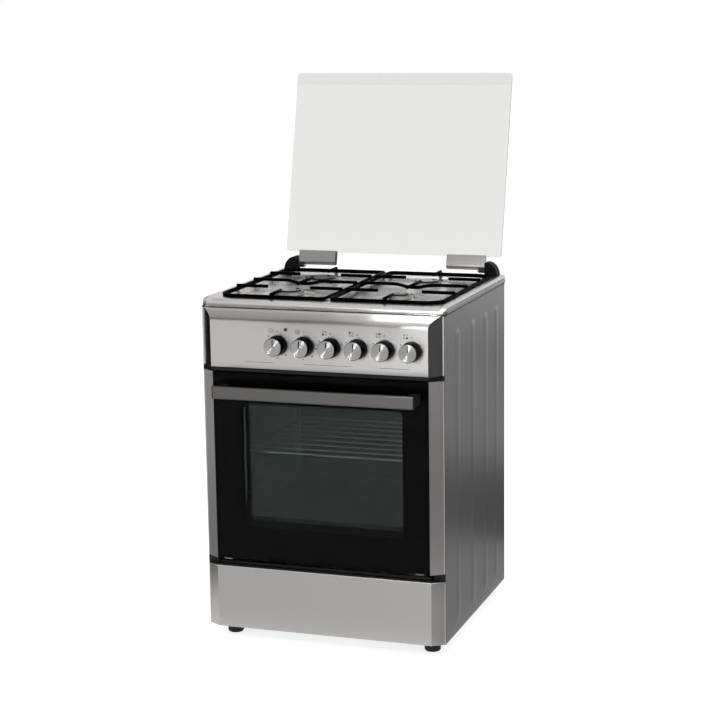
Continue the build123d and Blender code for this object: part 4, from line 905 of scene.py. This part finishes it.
cover_foot = arc(5.4, 14.0, (8.8, 11.0), 180, 292, 18)
cover_outside = np.concatenate([[(-1.4, 40.2), (-2.5, 39.6), (-3.0, 34), (-3.3, 24)], cover_foot,
                                [(11.6, 7.4), (12.0, 12), (12.0, 40.2)]])
edge = np.gradient(cover_outside, axis=0)
edge /= np.linalg.norm(edge, axis=1, keepdims=True)
cover_inside = cover_outside + np.stack([-edge[:, 1], edge[:, 0]], -1) * 0.9
cover_section = on_lid(np.concatenate([cover_outside, cover_inside[::-1]]))
core_section = on_lid(np.concatenate([[(-1.8, 39.0), (-2.4, 27)], cover_foot * 0.94 + (0.3, 0.8),
                                      [(10.8, 8), (11.2, 12), (11.2, 39.0)]]))
lug_round = arc(0, 0, lug_radius, 160, 380, 16)
lug_section = on_lid(np.concatenate([lug_round, [(8, 8), (8, 16), (0, 16), (-2, 8)]]))
pin_section = arc(*lid_axis, pin_radius, 256, 608, 16)
covers, cores, pins = [], [], []
for side in (-1, 1):
    covers.append(bar(cover_section, side * clip_inner, side * clip_outer))
    covers.append(bar(core_section, side * (clip_outer - plate), side * clip_outer))
    cores.append(bar(core_section, side * (clip_inner - core_past), side * core_outer))
    cores.append(bar(lug_section, side * lug_inner, side * lug_outer))
    pins.append(bar(pin_section, side * pin_inner, side * pin_outer))
# the clip covers' steel is darker than the panel's: painted shade
clip_steel_painted_shade = brushed("stainless_belt_brushed_clip_painted_shade", ("8E8C8B", "A6A4A3"), 0, 0.34)
clip_covers = new_piece("lid_clip_covers", *together(covers), clip_steel_painted_shade, 40)
clip_cores = new_piece("lid_clip_cores", *together(cores), black_plastic, 40)
short_pins = new_piece("lid_pins_short", *together(pins), plated, 40)
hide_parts("lid_clips")
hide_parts("lid_pins")
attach(clip_covers, "lid")
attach(clip_cores, "lid")
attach(short_pins, "cabinet")


# Hinge blocks: a black moulding at each end of the lid, screwed down on the rim. It is flat
# beside the clip, and its outer side falls away in a quarter of an oval.
block_inner, block_run, block_rise = 252.7, 33.0, 36.0
block_front, block_back, block_edge, block_top = 509.5, 543.0, 2.5, 4.0
oval = arc(block_top, 0, (block_run - block_top, block_rise), 90, 0, 15)
block_x, block_z = np.concatenate([
    [(0, 0), (0, block_rise - block_edge), (block_edge, block_rise)], oval]).T
block_parts = [capped([at(side * (block_inner + block_x), depth, hob_high + block_z)
                       for depth in (block_front, block_back)]) for side in (-1, 1)]
coarse_plastic, tree, shader = new_material(
    "polypropylene_coarse_grain", "0E0E0F", 0.5, more={"Specular IOR Level": 0.08})
hide = add(tree, "TexVoronoi", {"Vector": place_in(tree, 2.4)})
vary(tree, shader, "Roughness", hide.outputs["Distance"], 0.42, 0.62)
# the mould is etched with a leather grain, a millimetre wide, drawn at twice that to show
roughen(tree, shader, hide.outputs["Distance"], 0.35)
blocks = new_piece("lid_hinge_blocks", *together(block_parts), coarse_plastic, 40)
soften(blocks, 2.0, 3)
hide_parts("hinge_blocks")
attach(blocks, "cabinet")


# Oven: the cavity, its flange and the frame round its mouth are pressed steel in dark grey
# enamel with a fine pale speckle.
cavity_enamel, tree, shader = new_material("vitreous_enamel_speckled", "2B2E30", 0.2)
fleck = add(tree, "TexNoise", {"Vector": place_in(tree, 2.2), "Detail": 2.0})
fine = add(tree, "MapRange", {"Value": fleck.outputs[0], "From Min": 0.62, "From Max": 0.7})
vary(tree, shader, "Base Color", fine.outputs[0], "26292B", "7C8488")
dress(cavity_enamel, "oven_liner")
dress(black_enamel, "front_frame")

# the door's tray has a plain graphite enamel, smooth and glossy
tray_enamel = mottled("vitreous_enamel_graphite", 4, ("1E2022", "2A2C2E"), (0.18, 0.3))
dress(tray_enamel, "door_frame")

# the seal round the mouth is a rope braided of glass fibre, grey and matt
rope, tree, shader = new_material("glass_fibre_braid", "3A3A38", 0.85)
braid = add(tree, "TexWave", {"Vector": place_in(tree, 3), "Scale": 1.0, "Distortion": 1.5},
            bands_direction="DIAGONAL")
vary(tree, shader, "Base Color", braid.outputs["Color"], "2A2A29", "55544F")
roughen(tree, shader, braid.outputs["Fac"], 0.4)
dress(rope, "oven_gasket")

# mineral wool felt keeps the heat in: matt and yellowish, with long fibres
wool = mottled("mineral_wool_felted", (2, 14, 5), ("84784F", "C4B88A"), [0.95],
               detail=6.0, relief=0.8)
dress(wool, "insulation")

# the rack and its guides are steel wire plated in nickel and chrome, bright and mirror-like
chrome = mottled("wire_nickel_chrome_plated", 12, ["C9CCCE"], (0.08, 0.2), detail=3.0,
                 metallic=1.0)
dress(chrome, "oven_rack", "rack_guides")

# the elements have steel sheaths that the heat has turned a dull brownish grey
sheath = mottled("steel_heat_blued_sheath", 10, ("3A3734", "635E5A"), [0.5], detail=4.0,
                 metallic=0.8)
dress(sheath, "top_element", "bottom_element")

# the oven lamp is a thick pressed glass, clear with a soft shine
lamp_glass = glass("borosilicate_pressed", "DCE0DE", roughness=0.08, ior=1.47, clear=0.85)
dress(lamp_glass, "oven_lamp")


# Oven door: an outer pane with black ceramic ink fired on its back round a clear window, a
# second pane of tinted glass behind it, and an enamelled tray that holds them.
dress(glass("float_glass_door", "D4D8D7", tint=0.05), "door_glass_outer")
dress(glass("float_glass_heat_reflecting", "BEC9C7", tint=0.6), "door_glass_inner")

frit = mottled("ceramic_frit_fired", 3, ("060606", "0B0B0B"), [0.4], gloss=0.0)


def rounded(half_width, low, high, corner, steps=12):
    """x and z of a rounded rectangle, anticlockwise from the right of its foot: a quarter turn
    at each corner, with straight sides between them."""
    quarter = arc(0, 0, corner, 0, 90, steps)
    spots = [(half_width - corner, high - corner), (corner - half_width, high - corner),
             (corner - half_width, low + corner), (half_width - corner, low + corner)]
    turns = [quarter, quarter[:, ::-1] * (-1, 1), -quarter, quarter[:, ::-1] * (1, -1)]
    return np.concatenate([q + s for q, s in zip(turns, spots)])


def flat_ring(outside, inside, near, far):
    """Points and faces of a flat ring between two outlines of x and z, and between two depths."""
    rows = [at(line[:, 0], depth, line[:, 1])
            for line, depth in ((outside, near), (inside, near), (inside, far), (outside, far))]
    return np.stack(rows), grid_faces(4, len(outside), close_rows=True, close_columns=True)


print_edge, window_edge = rounded(264.5, 204, 658, 1.0), rounded(201, 285, 586, 12.0)
print_shape = flat_ring(print_edge, window_edge, -15.99, -15.8)
door_print = new_piece("door_print", *print_shape, frit)
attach(door_print, "door")
